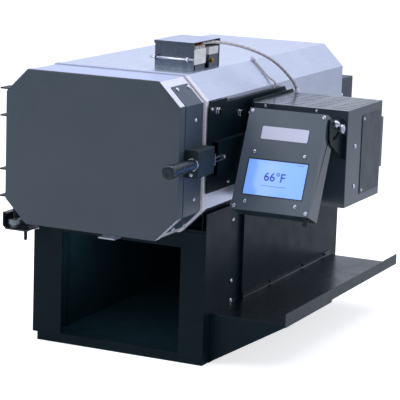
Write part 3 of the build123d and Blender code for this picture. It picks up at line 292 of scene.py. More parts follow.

# %% [markdown]
# ## Brick, ceramic, rope and rubber
# Insulating firebrick is a hard foam: cream, dusty, with pores from a tenth of a
# millimetre to two. Voronoi cells make pits where noise would only make hills, and the
# pits are drawn darker, a painted shade in the pores. Glazed porcelain is the opposite,
# smooth with a soft inner glow. The door rope is woven glass fibre, and rubber and
# moulded handles are dark with a broad sheen.

# %% Mineral finishes
def brick_finish():
    """Porous insulating firebrick."""
    material, tree, shader = new_finish("insulating_firebrick", Roughness=0.95)
    place = add(tree, "TexCoord").outputs["Object"]
    pores = add(tree, "TexVoronoi", {"Vector": place, "Scale": 420.0, "Randomness": 1.0})
    pit = add(tree, "MapRange", {"Value": pores.outputs["Distance"],
                                 "From Min": 0.05, "From Max": 0.4}).outputs[0]
    tone = mix(tree, wander(tree, 25, 0, 1, detail=6.0), colour("efe6d6"), colour("e0d2bb"))
    # The pits take the darker colour: painted shade in the pores.
    tree.links.new(mix(tree, pit, colour("bfae93"), tone), shader.inputs["Base Color"])
    relief(tree, shader, wander(tree, 9, 0, 1), 0.4, 0.5, relief(tree, shader, pit, 0.5, 0.8))
    return material


def ceramic_finish():
    """Glazed white porcelain."""
    material, tree, shader = new_finish("white_porcelain", Subsurface_Weight=0.12,
                                        Subsurface_Scale=0.002)
    tone = mix(tree, wander(tree, 12, 0, 1), colour("f1f0ec"), colour("e2e0da"))
    tree.links.new(tone, shader.inputs["Base Color"])
    tree.links.new(wander(tree, 5, 0.28, 0.5), shader.inputs["Roughness"])
    relief(tree, shader, wander(tree, 1.2, 0, 1), 0.02, 0.5)
    return material

finishes.update(
    firebrick=brick_finish(),
    white_ceramic=ceramic_finish(),
    plate_white=painted("pale_plate", "d5d8ea", "dfe2f2", (0.3, 0.42), 1.0, 0.004),
    gland_white=painted("pale_nylon", "dadce6", "c9ccd8", (0.4, 0.55), 1.5, 0.01),
    board_green=painted("board_lacquer", "1d4d34", "24593d", (0.3, 0.45), 3.0, 0.01),
    bumper_rubber=painted("grey_rubber", "1b1d1f", "26292b", (0.6, 0.75), 0.8, 0.02),
    handle_black=painted("moulded_black_handle", "0f1b22", "172730", (0.2, 0.32), 2.4, 0.01),
)
print("with minerals:", len(finishes))

# %% [markdown]
# ## Woven lead, rope and the glowing screen
# A woven sleeve only looks right when its pattern runs along the piece, so these finishes
# read the piece's own UV map: u goes round the tube and v goes along it. Two wave patterns
# that cross make the braid, drawn coarser than real strands so that it shows. The screen is
# glass over a lit picture, so it emits a little of its own colour and still reflects the
# room.

# %% Woven and lit finishes
def woven(name, light, dark, around, along, depth=0.25, rough=0.8):
    """Braided sleeve; around and along count the strands in the UV map."""
    material, tree, shader = new_finish(name, Roughness=rough, Sheen_Weight=0.25)
    uv = add(tree, "TexCoord").outputs["UV"]
    waves = []
    for turn in (1, -1):
        skew = add(tree, "Mapping", {"Vector": uv, "Rotation": (0, 0, turn * math.radians(45)),
                                     "Scale": (around, along, 1)})
        wave = add(tree, "TexWave", {"Vector": skew.outputs[0], "Scale": 1.0, "Distortion": 0.4},
                   wave_type="BANDS", bands_direction="X")
        waves.append(wave.outputs["Fac"])
    weave = add(tree, "Math", {0: waves[0], 1: waves[1]}, operation="MAXIMUM").outputs[0]
    # The gaps between the strands take the dark colour: painted shade in the weave.
    tree.links.new(mix(tree, weave, colour(dark), colour(light)), shader.inputs["Base Color"])
    relief(tree, shader, weave, depth)
    return material


def lit(name, first, second, size, **sockets):
    """Surface with a glow of its own colour."""
    material, tree, shader = new_finish(name, **sockets)
    glow = mix(tree, wander(tree, size, 0, 1), colour(first), colour(second))
    for socket in ("Base Color", "Emission Color"):
        tree.links.new(glow, shader.inputs[socket])
    return material

finishes["screen"] = lit("lit_display", "7babfb", "82b1ff", 60, Roughness=0.2,
                         Emission_Strength=0.46, Coat_Weight=0.4, Coat_Roughness=0.05)
print("finishes:", sorted(finishes))

# %% [markdown]
# ## Which finish goes where
# The CAD pieces are listed by finish. Each gets its material, and then two live modifiers:
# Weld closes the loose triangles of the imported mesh, and Bevel rounds every hard edge by a
# fraction of a millimetre. Real folded sheet has that radius, and it is what catches the
# bright line along an edge.

# %% Finishes and edge radii for the CAD pieces
pieces = {
    "black_enamel": "stand_post_right stand_post_left stand_side_panels stand_left_wall "
        "stand_base_pan stand_rear_panel stand_top_rails shelf_gusset "
        "side_mount_plate control_box_carrier hinge_brackets hinge_knuckles tilt_arms",
    "shelf_enamel": "side_shelf",
    "door_enamel": "door_front_skin",
    "stainless_shell": "body_shell body_rear_plate",
    "door_wrap": "door_wrap",
    "front_frame": "body_front_frame",
    "foot_brackets": "stand_front_brackets",
    "polished_sheet": "terminal_box",
    "lid_sheet": "terminal_box_lid",
    "matt_black": "handle_block",
    "grey_plate": "door_side_plate",
    "rear_grey": "rear_cover",
    "rod_steel": "hinge_rod",
    "charcoal_box": "control_box_shell control_box_lid panel_housing",
    "panel_front": "panel_face",
    "screen": "touch_screen",
    "plate_silver": "control_box_side_plate",
    "firebrick": "firebrick_floor firebrick_roof firebrick_right firebrick_left "
        "firebrick_rear door_firebrick",
    "white_ceramic": "ceramic_insulators",
    "gland_white": "lead_glands",
    "board_green": "control_board",
    "bright_steel": "terminal_clamp_rod tilt_pivot_bolts handle_stud catch_clip catch_keeper "
        "panel_clamp_stud panel_clamp_knob thermocouple",
    "bumper_rubber": "panel_bumper",
}
radii = {"door_front_skin": 1.2, "door_wrap": 0.35, "door_side_plate": 0.5, "body_front_frame": 0.5,
         "control_box_lid": 0.5, "control_box_shell": 0.5, "panel_housing": 1.2, "panel_face": 0.6,
         "handle_block": 1.6, "firebrick_floor": 0.8, "ceramic_insulators": 0.7,
         "side_mount_plate": 0.35, "rear_cover": 0.5}
EDGE_RADIUS = 0.3


def dress(name, finish):
    """Finish and edge radius for one CAD piece."""
    piece = nodes[name]
    piece.data.materials.clear()
    piece.data.materials.append(finish)
    weld = piece.modifiers.new("close_seams", "WELD")
    weld.merge_threshold = 0.00002
    bevel = piece.modifiers.new("edge_radius", "BEVEL")
    bevel.width = radii.get(name, EDGE_RADIUS) / 1000
    bevel.segments = 2
    bevel.limit_method, bevel.angle_limit = "ANGLE", math.radians(35)
    bevel.use_clamp_overlap = True

for finish_name, names in pieces.items():
    for name in names.split():
        dress(name, finishes[finish_name])
print("dressed:", sum(len(n.split()) for n in pieces.values()), "CAD pieces")

# %% [markdown]
# ## Modelling by hand, from code
# Every new piece below is made with the same operators as in the viewport: add a primitive,
# select faces by where they are, extrude, inset, bevel, and apply. A few helpers keep that
# readable. `clear` goes back to object mode with nothing selected, `pick` selects faces with
# a rule, `settle` bakes the mesh's place into its vertices, and `fit` hands the piece to a
# moving body and gives it a finish.

# %% Modelling helpers
def clear():
    """Nothing selected, object mode."""
    if bpy.context.mode != "OBJECT":
        bpy.ops.object.mode_set(mode="OBJECT")
    bpy.ops.object.select_all(action="DESELECT")


def pick(rule):
    """Select the faces of the edited mesh whose centre and normal satisfy a rule."""
    bpy.ops.mesh.select_mode(type="FACE")
    bpy.ops.mesh.select_all(action="DESELECT")
    bpy.ops.object.mode_set(mode="OBJECT")
    mesh = bpy.context.object.data
    for face in mesh.polygons:
        face.select = bool(rule(face.center, face.normal))
    bpy.ops.object.mode_set(mode="EDIT")


def settle(name, smooth=30):
    """Bake the place into the mesh, smooth by angle, and name the piece."""
    clear()
    piece = bpy.context.object
    piece.select_set(True)
    bpy.ops.object.transform_apply(location=True, rotation=True, scale=True)
    bpy.ops.object.shade_smooth_by_angle(angle=math.radians(smooth))
    piece.name = piece.data.name = name
    return piece


def fit(piece, body, slot_name, *stands_for, finish=None):
    """Finish, looked up by its slot name unless one is given, and body for a finished piece."""
    piece.data.materials.clear()
    piece.data.materials.append(finish or finishes[slot_name])
    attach(piece, body)
    if stands_for:
        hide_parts(*stands_for)
    return piece


def copied(master, place, name):
    """Copy with a mesh of its own, moved by a matrix."""
    piece = master.copy()
    piece.data = master.data.copy()
    piece.name = name
    scene.collection.objects.link(piece)
    piece.data.transform(place)
    piece.data.update()
    return piece


def joined(parts, name):
    """Several meshes as one piece."""
    clear()
    for part in parts:
        part.select_set(True)
    bpy.context.view_layer.objects.active = parts[0]
    if len(parts) > 1:
        bpy.ops.object.join()
    parts[0].name = parts[0].data.name = name
    return parts[0]


def facing(point, way, spin=0.0):
    """Matrix that takes +Z to a direction and the origin to a point in millimetres."""
    turn = Vector(way).to_track_quat("Z", "Y").to_matrix().to_4x4()
    return Matrix.Translation(Vector(point) / 1000) @ turn @ Matrix.Rotation(spin, 4, "Z")

print("modelling helpers ready")

# %% [markdown]
# ## Turned pieces
# The grip, studs and washers are round, so they come from one helper. It extrudes a circle
# along its axis through a list of (height, radius) steps, as a lathe tool would follow a
# drawing. Screw and Spin would do it too, but extruded rings keep the seam closed. With
# six sides the same helper makes hexagons.

# %% A turned piece
def turned(name, steps, point=(0, 0, 0), way=(0, 0, 1), sides=32):
    """Round piece through (height, radius) steps in mm, along a direction."""
    clear()
    bpy.ops.mesh.primitive_circle_add(vertices=sides, radius=steps[0][1] / 1000, fill_type="NGON")
    bpy.ops.object.mode_set(mode="EDIT")
    bpy.ops.mesh.select_mode(type="EDGE")
    bpy.ops.mesh.select_all(action="SELECT")
    for (h0, r0), (h1, r1) in zip(steps, steps[1:]):
        bpy.ops.mesh.extrude_region_move(TRANSFORM_OT_translate={"value": (0, 0, (h1 - h0) / 1000)})
        bpy.ops.transform.resize(value=(r1 / r0, r1 / r0, 1), center_override=(0, 0, 0))
    bpy.ops.mesh.select_all(action="SELECT")
    bpy.ops.mesh.normals_make_consistent(inside=False)
    piece = settle(name)
    piece.data.transform(Matrix.Translation((0, 0, steps[0][0] / 1000)))
    piece.data.transform(facing(point, way))
    return piece

print("lathe helper ready")

# %% [markdown]
# ## The leads
# A thermocouple lead is a pair of wires in a woven sleeve about five millimetres thick. It
# leaves the roof terminals, lies along the roof and drops to the top of the control box. A
# NURBS spline pulls gently towards its control points and has no kinks. The sleeve is the
# same curve with a bevel, made a mesh so that it carries a UV map for the braid.

# %% Curves and tubes
def nurbs(name, points, thickness=0.0, sides=4):
    """NURBS curve through control points in mm, with a round bevel."""
    data = bpy.data.curves.new(name, "CURVE")
    data.dimensions = "3D"
    data.resolution_u = 24
    data.bevel_depth = thickness / 2000
    data.bevel_resolution = sides
    data.use_fill_caps = thickness > 0
    spline = data.splines.new("NURBS")
    spline.points.add(len(points) - 1)
    for target, (x, y, z) in zip(spline.points, points):
        target.co = (x / 1000, y / 1000, z / 1000, 1)
    spline.order_u = 3
    spline.use_endpoint_u = True
    curve = bpy.data.objects.new(name, data)
    scene.collection.objects.link(curve)
    return curve


def meshed(curve):
    """Mesh of a curve as it is drawn; the curve goes."""
    bpy.context.view_layer.update()
    depsgraph = bpy.context.evaluated_depsgraph_get()
    mesh = bpy.data.meshes.new_from_object(curve.evaluated_get(depsgraph))
    bpy.data.objects.remove(curve)
    return mesh


def smooth_piece(name, mesh):
    """Smooth shaded piece in the scene from a mesh."""
    mesh.name = name
    mesh.shade_smooth()
    piece = bpy.data.objects.new(name, mesh)
    scene.collection.objects.link(piece)
    return piece


def tube(name, points, thickness, sides=4):
    """Mesh tube round a NURBS line, and the points of that line in metres."""
    line = [tuple(v.co) for v in meshed(nurbs(name + "_line", points)).vertices]
    mesh = meshed(nurbs(name + "_tube", points, thickness, sides))
    return smooth_piece(name, mesh), line

print("tube helpers ready")

# %% Thermocouple lead and side lead
lead_points = [(100, -216.8, 509), (100, -203, 509.4), (111.5, -181, 509.2), (124, -155, 504.8),
               (136.5, -126.5, 497.5), (149, -98, 487.3), (160.5, -70.5, 474.3), (170, -47, 457.8),
               (177.2, -29.5, 441.5), (181.6, -18.8, 431), (183, -14, 420.5)]
lead, lead_line = tube("thermocouple_lead_sleeve", lead_points, 5.0, 6)
lead_length = sum((Vector(b) - Vector(a)).length for a, b in zip(lead_line, lead_line[1:]))
lead_weave = woven("braided_lead", "ddd7d6", "aca39f", 5.0, lead_length / 0.004)
fit(lead, "base", "lead_fabric", "thermocouple_lead", finish=lead_weave)

side_points = [(117.5, -46.5, 468), (132, -45, 453.6), (146, -45.5, 440.2), (153.2, -44, 436.4),
               (157.2, -42.8, 431.1), (154.3, -44, 424.4), (154.5, -45.5, 413), (154.5, -45.5, 394)]
side, _ = tube("side_lead_sleeve", side_points, 3.6, 5)
fit(side, "base", "lead_fabric", "side_lead",
    finish=woven("braided_side_lead", "e3dede", "b6aeab", 5.0, 24.0))
print("thermocouple lead:", round(lead_length * 1000), "mm, UV maps:", len(lead.data.uv_layers))

# %% [markdown]
# ## Screws
# Dozens of fasteners hold the sheets together. All have one of two shapes, so each shape is
# modelled once, standing on the origin, and every screw is a scaled copy. The cross recess
# is cut with a Boolean: two thin bars, crossed, are taken out of the turned head. At this
# size the dark cross is what makes a disc read as a screw.

# %% Pan head with a cross recess
def block(centre, size):
    """Box at a place, both in mm."""
    clear()
    bpy.ops.mesh.primitive_cube_add(size=1, location=[c / 1000 for c in centre],
                                    scale=[s / 1000 for s in size])


def bar(length, width, height, z):
    """Thin bar along X, in mm, drawn in towards its lower side."""
    block((0, 0, z), (length, width, height))
    bpy.ops.object.mode_set(mode="EDIT")
    pick(lambda c, n: n.z < -0.5)
    bpy.ops.transform.resize(value=(0.55, 0.7, 1))
    return settle("bar")


def cut(piece, *cutters):
    """Take cutters out of a piece and delete them."""
    for cutter in cutters:
        clear()
        bpy.context.view_layer.objects.active = piece
        tool = piece.modifiers.new("cut", "BOOLEAN")
        tool.object, tool.operation, tool.solver = cutter, "DIFFERENCE", "EXACT"
        bpy.ops.object.modifier_apply(modifier="cut")
        bpy.data.objects.remove(cutter)
    return piece

PAN_WIDTH, PAN_HEIGHT = 6, 2.4
pan = turned("pan_head", [(0, 2.85), (0.15, 3.0), (0.95, 3.0), (1.6, 2.72), (2.1, 2.2),
                          (PAN_HEIGHT, 1.2)], sides=24)
across, upright = (bar(3.4, 0.62, 1.6, 2.2) for _ in range(2))
upright.data.transform(Matrix.Rotation(math.radians(90), 4, "Z"))
cut(pan, across, upright)
print("pan head faces:", len(pan.data.polygons))

# %% Hexagon bolt on its washer
# Ten millimetres across its flats, four high above the washer
BOLT_WIDTH, BOLT_HEIGHT = 10, 4
washer = turned("washer", [(0, 5.8), (0.15, 6.0), (0.8, 6.0), (1.0, 5.8)], sides=28)
hexagon = turned("hexagon", [(1.0, 5.7), (1.2, 5.774), (4.5, 5.774), (5.0, 5.25)], sides=6)
collar = turned("hex_crown", [(4.7, 4.7), (5.0, 4.5)], sides=24)
bolt = joined([washer, hexagon, collar], "hex_bolt")
print("hexagon bolt faces:", len(bolt.data.polygons))

# %% [markdown]
# The lists below say where each head sits, which way it points, and how wide and tall it
# is, all in millimetres. Screws turn a different amount each time, as on any real machine,
# so each copy is spun by its number in the list.

# %% Screws on the stand, the body and the control box
def screw_set(name, pans, hexes=()):
    """One piece from rows of (seat, way, width, height)."""
    parts = []
    for rows, master, wide, tall, spin in ((pans, pan, PAN_WIDTH, PAN_HEIGHT, 0.9),
                                           (hexes, bolt, BOLT_WIDTH, BOLT_HEIGHT, 0.7)):
        for n, (seat, way, width, height) in enumerate(rows):
            size = Matrix.Diagonal((width / wide, width / wide, height / tall, 1))
            parts.append(copied(master, facing(seat, way, spin * n) @ size, name))
    return joined(parts, name)

right, left, front = (1, 0, 0), (-1, 0, 0), (0, -1, 0)
base_pans = [((146.5, -174.33, z), right, 8, 2.4) for z in (84, 117, 220)]
base_pans += [((s * 148, 291, z), (s, 0, 0), 6, 2.4) for s in (-1, 1) for z in (275, 375)]
base_pans += [((158.5, -297.5, 417.5), right, 5, 2.4), ((158.5, -227.5, 293.5), right, 6, 2.4),
              ((191, -162, 410), front, 5, 1.6), ((280, -162, 410), front, 5, 1.6),
              ((334, -126, 354), right, 7, 2.4), ((334, -124, 288), right, 7, 2.4),
              ((335.2, -91, 394), right, 5, 1.6), ((335.2, -91, 277), right, 5, 1.6)]
base_hexes = [((158.5, -276.5, 412.5), right, 10, 4), ((158.5, -191.5, 399.5), right, 9.5, 3.2),
              ((-22, -289, 200), front, 7, 3.2), ((-10, -289, 200), front, 7, 3.2)]
fit(screw_set("stand_and_box_screws", base_pans, base_hexes), "base", "bright_steel", "base_screws")
shank = turned("stop_bolt_shank", [(0, 1.5), (1.6, 2.7), (3, 2.8), (19.5, 2.8)], (-148, -339, 179),
               sides=20)
shelf_pans = [((154, y, 87.25), right, 5.4, 2.4) for y in (-25, 123, 225)]
dark = screw_set("dark_screws_set", shelf_pans, [((-148, -339, 198.5), (0, 0, 1), 8.4, 3.6)])
fit(joined([dark, shank], "dark_screws"), "base", "black_enamel", finish=finishes["matt_black"])
print("screws on the base:", len(base_pans) + len(base_hexes))

# %% Screws on the door and the panel
# The panel leans back round an axis at PIVOT, its Y and Z in the frame. The axis is 27 mm
# behind the panel's face and 6.5 mm below its upper edge.
TILT = math.radians(23)
PIVOT = (-200, 398.5)
PIVOT_DEPTH, PIVOT_DROP = 27, 6.5


def panel_at(x, y, z):
    """Place in the frame, in mm, of a point given on the upright panel."""
    a, b = y - PIVOT_DEPTH, z + PIVOT_DROP
    return (x, PIVOT[0] + a * math.cos(TILT) + b * math.sin(TILT),
            PIVOT[1] - a * math.sin(TILT) + b * math.cos(TILT))

door_pans = [((152.7, -343, 405), right, 6.5, 2.4), ((152.7, -341, 281), right, 6.5, 2.4),
             ((164.2, -377, 326), front, 6.5, 2.0)]
door_pans += [((130.2, y, z), (1, 0, s), 6.5, 2.4)
              for y in (-364, -325) for s, z in ((1, 452.7), (-1, 235.3))]
door_pans += [((-153.5, y, z), left, 6, 2.4) for y in (-369, -357) for z in (273, 404.5)]
fit(screw_set("door_screws_set", door_pans), "door", "bright_steel", "door_screws")

panel_out = (0, -math.cos(TILT), math.sin(TILT))
panel_pans = [(panel_at(x, 0, z), panel_out, 6.6, 2.2)
              for x in (196.2, 317.8) for z in (-5.2, -159.8)]
panel_pans += [(panel_at(x, 0, z), panel_out, 6.2, 2.2)
               for x in (213, 298.5) for z in (-70.5, -151)]
panel_pans += [(panel_at(191, 8.3, z), left, 7.4, 4.6) for z in (-8.3, -156)]
fit(screw_set("panel_screws_set", panel_pans), "panel", "bright_steel", "panel_screws")
for master in (pan, bolt):
    bpy.data.objects.remove(master)
print("screws on the door and panel:", len(door_pans), len(panel_pans))

# %% [markdown]
# ## Handle grip
# The grip is a moulded phenolic cone that widens towards the hand. A cone primitive would
# leave a hard rim, so it is turned through a dozen radii that swell, roll over the end and
# dish in slightly, as the moulded one does.

# %% Grip
grip = turned("door_grip", [(0, 8.7), (0.6, 9.0), (12, 9.15), (30, 9.6), (50, 10.2), (68, 10.75),
                            (76, 10.95), (79.6, 10.95), (81.4, 10.5), (82.5, 9.6), (83, 8.2),
                            (82.8, 5.0), (82.5, 2.0)],
              (167.2, -381, 342.5), (0, -1, 0), sides=56)
fit(grip, "door", "handle_black", "handle_grip")
print("grip:", [round(v * 1000) for v in grip.dimensions], "mm")

# %% [markdown]
# ## Plates with rounded corners
# The pale plate on the panel is stamped sheet with rounded corners. It starts as a cube the
# size of the plate; its four short edges are bevelled into round corners, then its rim is
# softened. On so plain a surface that crisp outline is what the eye holds on to.

# %% A stamped plate
def stamped(name, size, centre, corner, rim):
    """Thin plate in the XZ plane, sizes in mm, with rounded corners and a soft rim."""
    block(centre, size)
    bpy.ops.object.transform_apply(location=False, rotation=False, scale=True)
    bpy.ops.object.mode_set(mode="EDIT")
    bpy.ops.mesh.select_mode(type="EDGE")
    bpy.ops.mesh.select_all(action="DESELECT")
    bpy.ops.object.mode_set(mode="OBJECT")
    mesh = bpy.context.object.data
    for edge in mesh.edges:
        ends = [mesh.vertices[v].co for v in edge.vertices]
        edge.select = abs(ends[0].y - ends[1].y) > 0.5 * size[1] / 1000
    bpy.ops.object.mode_set(mode="EDIT")
    bpy.ops.mesh.bevel(offset=corner / 1000, segments=5, affect="EDGES")
    plate = settle(name)
    soft = plate.modifiers.new("rim", "BEVEL")
    soft.width, soft.segments, soft.limit_method = rim / 1000, 2, "ANGLE"
    bpy.ops.object.modifier_apply(modifier="rim")
    return plate


def onto_panel(piece):
    """Move a piece modelled on the upright panel to the tilted one."""
    x, y, z = panel_at(0, 0, 0)
    place = Matrix.Translation((0, y / 1000, z / 1000)) @ Matrix.Rotation(-TILT, 4, "X")
    piece.data.transform(place)
    return piece

name_plate = onto_panel(stamped("panel_plate", (79, 0.8, 21), (258.5, -0.4, -38.3), 2.4, 0.2))
fit(name_plate, "panel", "plate_white", "panel_name_plate")
print("plate at", [round(v * 1000, 1) for v in name_plate.data.vertices[0].co])

# %% [markdown]
# ## Screen surround and readout
# The display sits behind a cut-out, and a thin black gasket shows all round it. A plane is
# inset, its middle is deleted and the rim is extruded, the quickest way to a frame. The
# readout is a temperature in plain figures, made a mesh so that its place can be baked.

# %% Screen surround
def surround(name, size, centre, width, depth):
    """Frame in the XZ plane: an inset plane with its middle taken out."""
    clear()
    bpy.ops.mesh.primitive_plane_add(size=1, location=[c / 1000 for c in centre],
                                     rotation=(math.radians(90), 0, 0))
    bpy.context.object.scale = (size[0] / 1000, size[1] / 1000, 1)
    bpy.ops.object.transform_apply(location=False, rotation=True, scale=True)
    bpy.ops.object.mode_set(mode="EDIT")
    bpy.ops.mesh.select_all(action="SELECT")
    bpy.ops.mesh.inset(thickness=width / 1000)
    bpy.ops.mesh.delete(type="FACE")
    bpy.ops.mesh.select_all(action="SELECT")
    bpy.ops.mesh.extrude_region_move(TRANSFORM_OT_translate={"value": (0, depth / 1000, 0)})
    bpy.ops.mesh.select_all(action="SELECT")
    bpy.ops.mesh.normals_make_consistent(inside=False)
    return settle(name)

rim = onto_panel(surround("screen_surround", (103, 60), (256.75, -0.25, -110.75), 1.5, 0.85))
fit(rim, "panel", "bumper_rubber")
print("surround faces:", len(rim.data.polygons))

# %% Readout
def words(text, height, x, z):
    """Flat figures of a height in mm, centred on a place on the panel."""
    capital_share = 0.72
    clear()
    bpy.ops.object.text_add(rotation=(math.radians(90), 0, 0))
    letters = bpy.context.object
    letters.data.body = text
    letters.data.size = height / 1000 / capital_share
    letters.data.align_x, letters.data.align_y = "CENTER", "CENTER"
    letters.data.extrude = 0.00006
    letters.data.offset = 0.0002
    bpy.ops.object.convert(target="MESH")
    letters = settle("figures")
    letters.data.transform(Matrix.Translation((x / 1000, 0.0005, z / 1000)))
    return letters

lines = [stamped("line", (w, 0.14, h), (x, 0.5, z), h / 2.5, 0.02)
         for w, h, x, z in ((42, 0.6, 255.5, -123), (12, 0.6, 294.5, -85.8))]
readout = joined([words("66°F", 14, 255, -109), *lines], "readout")
fit(onto_panel(readout), "panel", "screen",
    finish=lit("readout_blue", "16399b", "1c44ab", 4, Roughness=0.3, Emission_Strength=0.35))
print("readout faces:", len(readout.data.polygons))

# %% [markdown]
# ## Terminals on the roof
# Under the bright lid a porcelain block carries four brass studs, each with a nut, and
# raised walls keep the wires apart. Two coloured wires, orange and red, come out of the
# woven lead and go under the first two nuts; two white sleeved ones go on to the
# sensor. Brass is turned on the same lathe helper, the nuts with only six sides.

# %% Studs, nuts and the earth screw
def stud(x, y, z):
    """Threaded stud with a washer and a nut, standing on a face."""
    screw = turned("stud", [(0, 1.5), (3.8, 1.5), (4.0, 1.3), (4.4, 1.5), (4.8, 1.3), (5.2, 1.5),
                            (5.6, 1.3), (6.0, 1.5), (6.6, 1.4), (7, 0.9)], (x, y, z), sides=14)
    ring = turned("ring", [(0, 2.7), (0.5, 2.7)], (x, y, z), sides=20)
    nut = turned("nut", [(0.5, 2.3), (0.7, 2.55), (2.6, 2.55), (2.8, 2.3)], (x, y, z), sides=6)
    return [screw, ring, nut]

brass_parts = [part for y in (-250.8, -242.8, -234.8, -226.8) for part in stud(100, y, 502)]
earth = turned("earth", [(0, 4.5), (0.9, 4.5), (1.0, 3.6), (2.6, 3.6), (3.6, 3.0), (4.0, 1.8)],
               sides=24)
cut(earth, bar(9, 0.9, 1.6, 4.0))
earth.data.transform(facing((106, -192.8, 480), right, 0.5))
fit(joined(brass_parts + [earth], "terminal_studs"), "base", "brass", "terminal_posts")
print("brass parts:", len(brass_parts) + 1)

# %% Walls between the terminals
def barrier(y):
    """Raised porcelain wall with a rounded crown."""
    block((96.5, y, 504.3), (16.5, 2.1, 5.6))
    bpy.ops.object.transform_apply(location=False, rotation=False, scale=True)
    bpy.ops.object.mode_set(mode="EDIT")
    bpy.ops.mesh.select_all(action="SELECT")
    bpy.ops.mesh.bevel(offset=0.0006, segments=3, affect="EDGES")
    return settle("barrier")

walls = joined([barrier(y) for y in (-254.9, -246.8, -238.8, -230.8, -222.6, -216.2)],
               "terminal_barriers")
fit(walls, "base", "white_ceramic")
print("barrier faces:", len(walls.data.polygons))

# %% Wires to the terminals
def wire(name, points, thickness, code, shade):
    """Insulated wire in one colour, riding on the base."""
    piece, _ = tube(name, points, thickness, 4)
    sleeve = painted(name + "_sleeve", code, shade, (0.4, 0.6), 0.8, 0.01)
    return fit(piece, "base", "lead_fabric", finish=sleeve)

wire("orange_wire", [(100.9, -213, 509.3), (101.8, -218, 510.4), (102.6, -223, 509.8),
                     (101.7, -226.6, 506.2), (100.2, -229.2, 505.2)], 1.9, "d77a34", "c4652a")
wire("red_wire", [(99.1, -213, 509.3), (97.2, -220, 510.6), (96.6, -229, 509.8),
                  (98, -234.2, 506.2), (100.2, -236.9, 505.2)], 1.9, "b8493a", "a03c31")
for n, y in enumerate((-242.8, -250.8)):
    wire(f"sensor_wire_{n}", [(100.2, y - 2.2, 505.2), (95, y - 1.5, 508.6), (86, y + 3, 508.4),
                              (77, -230 - 4 * n, 500), (71 + 2 * n, -221, 491),
                              (71 + 2 * n, -219, 486.6)],
         1.8, "e6e4de", "d2cfc6")
print("terminal wires: 4")

# %% [markdown]
# ## Heating elements
# An element is resistance wire wound into a long spring and laid in a groove of the wall.
# The CAD model holds its outer tube, which is right for contact but not for looks. Here it
# is wound for real: one curve whose points circle the tube's line, 3.6 mm a turn, with a
# round bevel. Four sides are enough for wire this thin.

# %% Coiled element
# Each groove starts at the rear, runs forward at the upper level, bends down and comes back
# as far below the chamber's axis. Sizes in mm.
GROOVE_X, REAR_Y, UPPER_Z, AXIS_Z = 90.0, 214, 374, 344
RUN, DROP, BEND, STEP, BEND_STEPS = 483.3, 40, 10, 0.36, 44
COIL_RADIUS, STEPS_A_TURN, WIRE = 4.25, 10, 1.5


def groove_line(side):
    """Points along one element's middle line, in mm, a step apart."""
    x, front, level = side * GROOVE_X, REAR_Y - RUN, UPPER_Z - BEND
    points = [(x, REAR_Y - n * STEP, UPPER_Z) for n in range(round(RUN / STEP))]
    for n in range(BEND_STEPS):
        a = math.radians(90 * n / BEND_STEPS)
        points.append((x, front - BEND * math.sin(a), level + BEND * math.cos(a)))
    down = [(x, front - BEND, level - n * STEP) for n in range(round(DROP / STEP))]
    back = [(x, y, 2 * AXIS_Z - z) for x, y, z in reversed(points)]
    return points + down + back


def coil(side):
    """Wire wound round the groove's line."""
    line = [Vector(p) for p in groove_line(side)]
    across = Vector((side, 0, 0))
    wound = []
    for n, point in enumerate(line):
        along = (line[min(n + 1, len(line) - 1)] - line[max(n - 1, 0)]).normalized()
        other = along.cross(across)
        a = 2 * math.pi * n / STEPS_A_TURN
        wound.append(point + COIL_RADIUS * (math.cos(a) * across + math.sin(a) * other))
    data = bpy.data.curves.new("coil", "CURVE")
    data.dimensions, data.bevel_depth, data.bevel_resolution = "3D", WIRE / 2000, 0
    data.use_fill_caps = True
    spline = data.splines.new("POLY")
    spline.points.add(len(wound) - 1)
    spline.points.foreach_set("co", [c for p in wound for c in (*(p / 1000), 1.0)])
    curve = bpy.data.objects.new("coil", data)
    scene.collection.objects.link(curve)
    clear()
    curve.select_set(True)
    bpy.context.view_layer.objects.active = curve
    bpy.ops.object.convert(target="MESH")
    return settle("coil", 60)

backwards = (0, 1, 0)
ends = [(s * GROOVE_X, z) for s in (-1, 1) for z in (2 * AXIS_Z - UPPER_Z, UPPER_Z)]
tails = [turned("tail", [(0, 1.55), (92, 1.55), (92.3, 1.3), (93.5, 1.55), (94.4, 1.3), (95, 1.0)],
                (x, REAR_Y, z), backwards, sides=16) for x, z in ends]
nuts = [turned("tail_nut", [(0, 3.4), (0.3, 3.7), (3.2, 3.7), (3.5, 3.4)], (x, y, z), backwards,
               sides=6) for x, z in ends for y in (291.5, 299)]
elements = joined([coil(1), coil(-1), *tails, *nuts], "wound_elements")
fit(elements, "base", "element_wire", "heating_elements")
print("element triangles:", sum(len(p.vertices) - 2 for p in elements.data.polygons))

# %% [markdown]
# ## Door rope
# A rope of woven glass seals the door. It is a tube on a closed line round the face, pressed
# to a third of its thickness by the door. The line has three control points at
# each corner, so it stays straight between them and turns each corner in a short curve.

# %% Gasket rope
# The body's front face in mm: half its width, half its height and its cut corner
FACE_REACH, FACE_HALF, FACE_CUT = 152.5, 124, 38
ROPE_Y, CORNER_REACH = -310.85, 12


def rope_line(inset):
    """Closed octagon in mm with three control points at each corner."""
    reach, half = FACE_REACH - inset, FACE_HALF - inset
    cut_off = FACE_CUT - inset * (2 - math.sqrt(2))
    corners = [(reach - cut_off, half), (reach, half - cut_off),
               (reach, cut_off - half), (reach - cut_off, -half)]
    corners += [(-x, z) for x, z in reversed(corners)]
    points = []
    for n, here in enumerate(corners):
        here = Vector(here)
        for other in (corners[n - 1], corners[(n + 1) % 8]):
            away = (Vector(other) - here).normalized() * CORNER_REACH
            points.append(here + away)
        points.insert(-1, here)
    return [(p.x, ROPE_Y, AXIS_Z + p.y) for p in points]


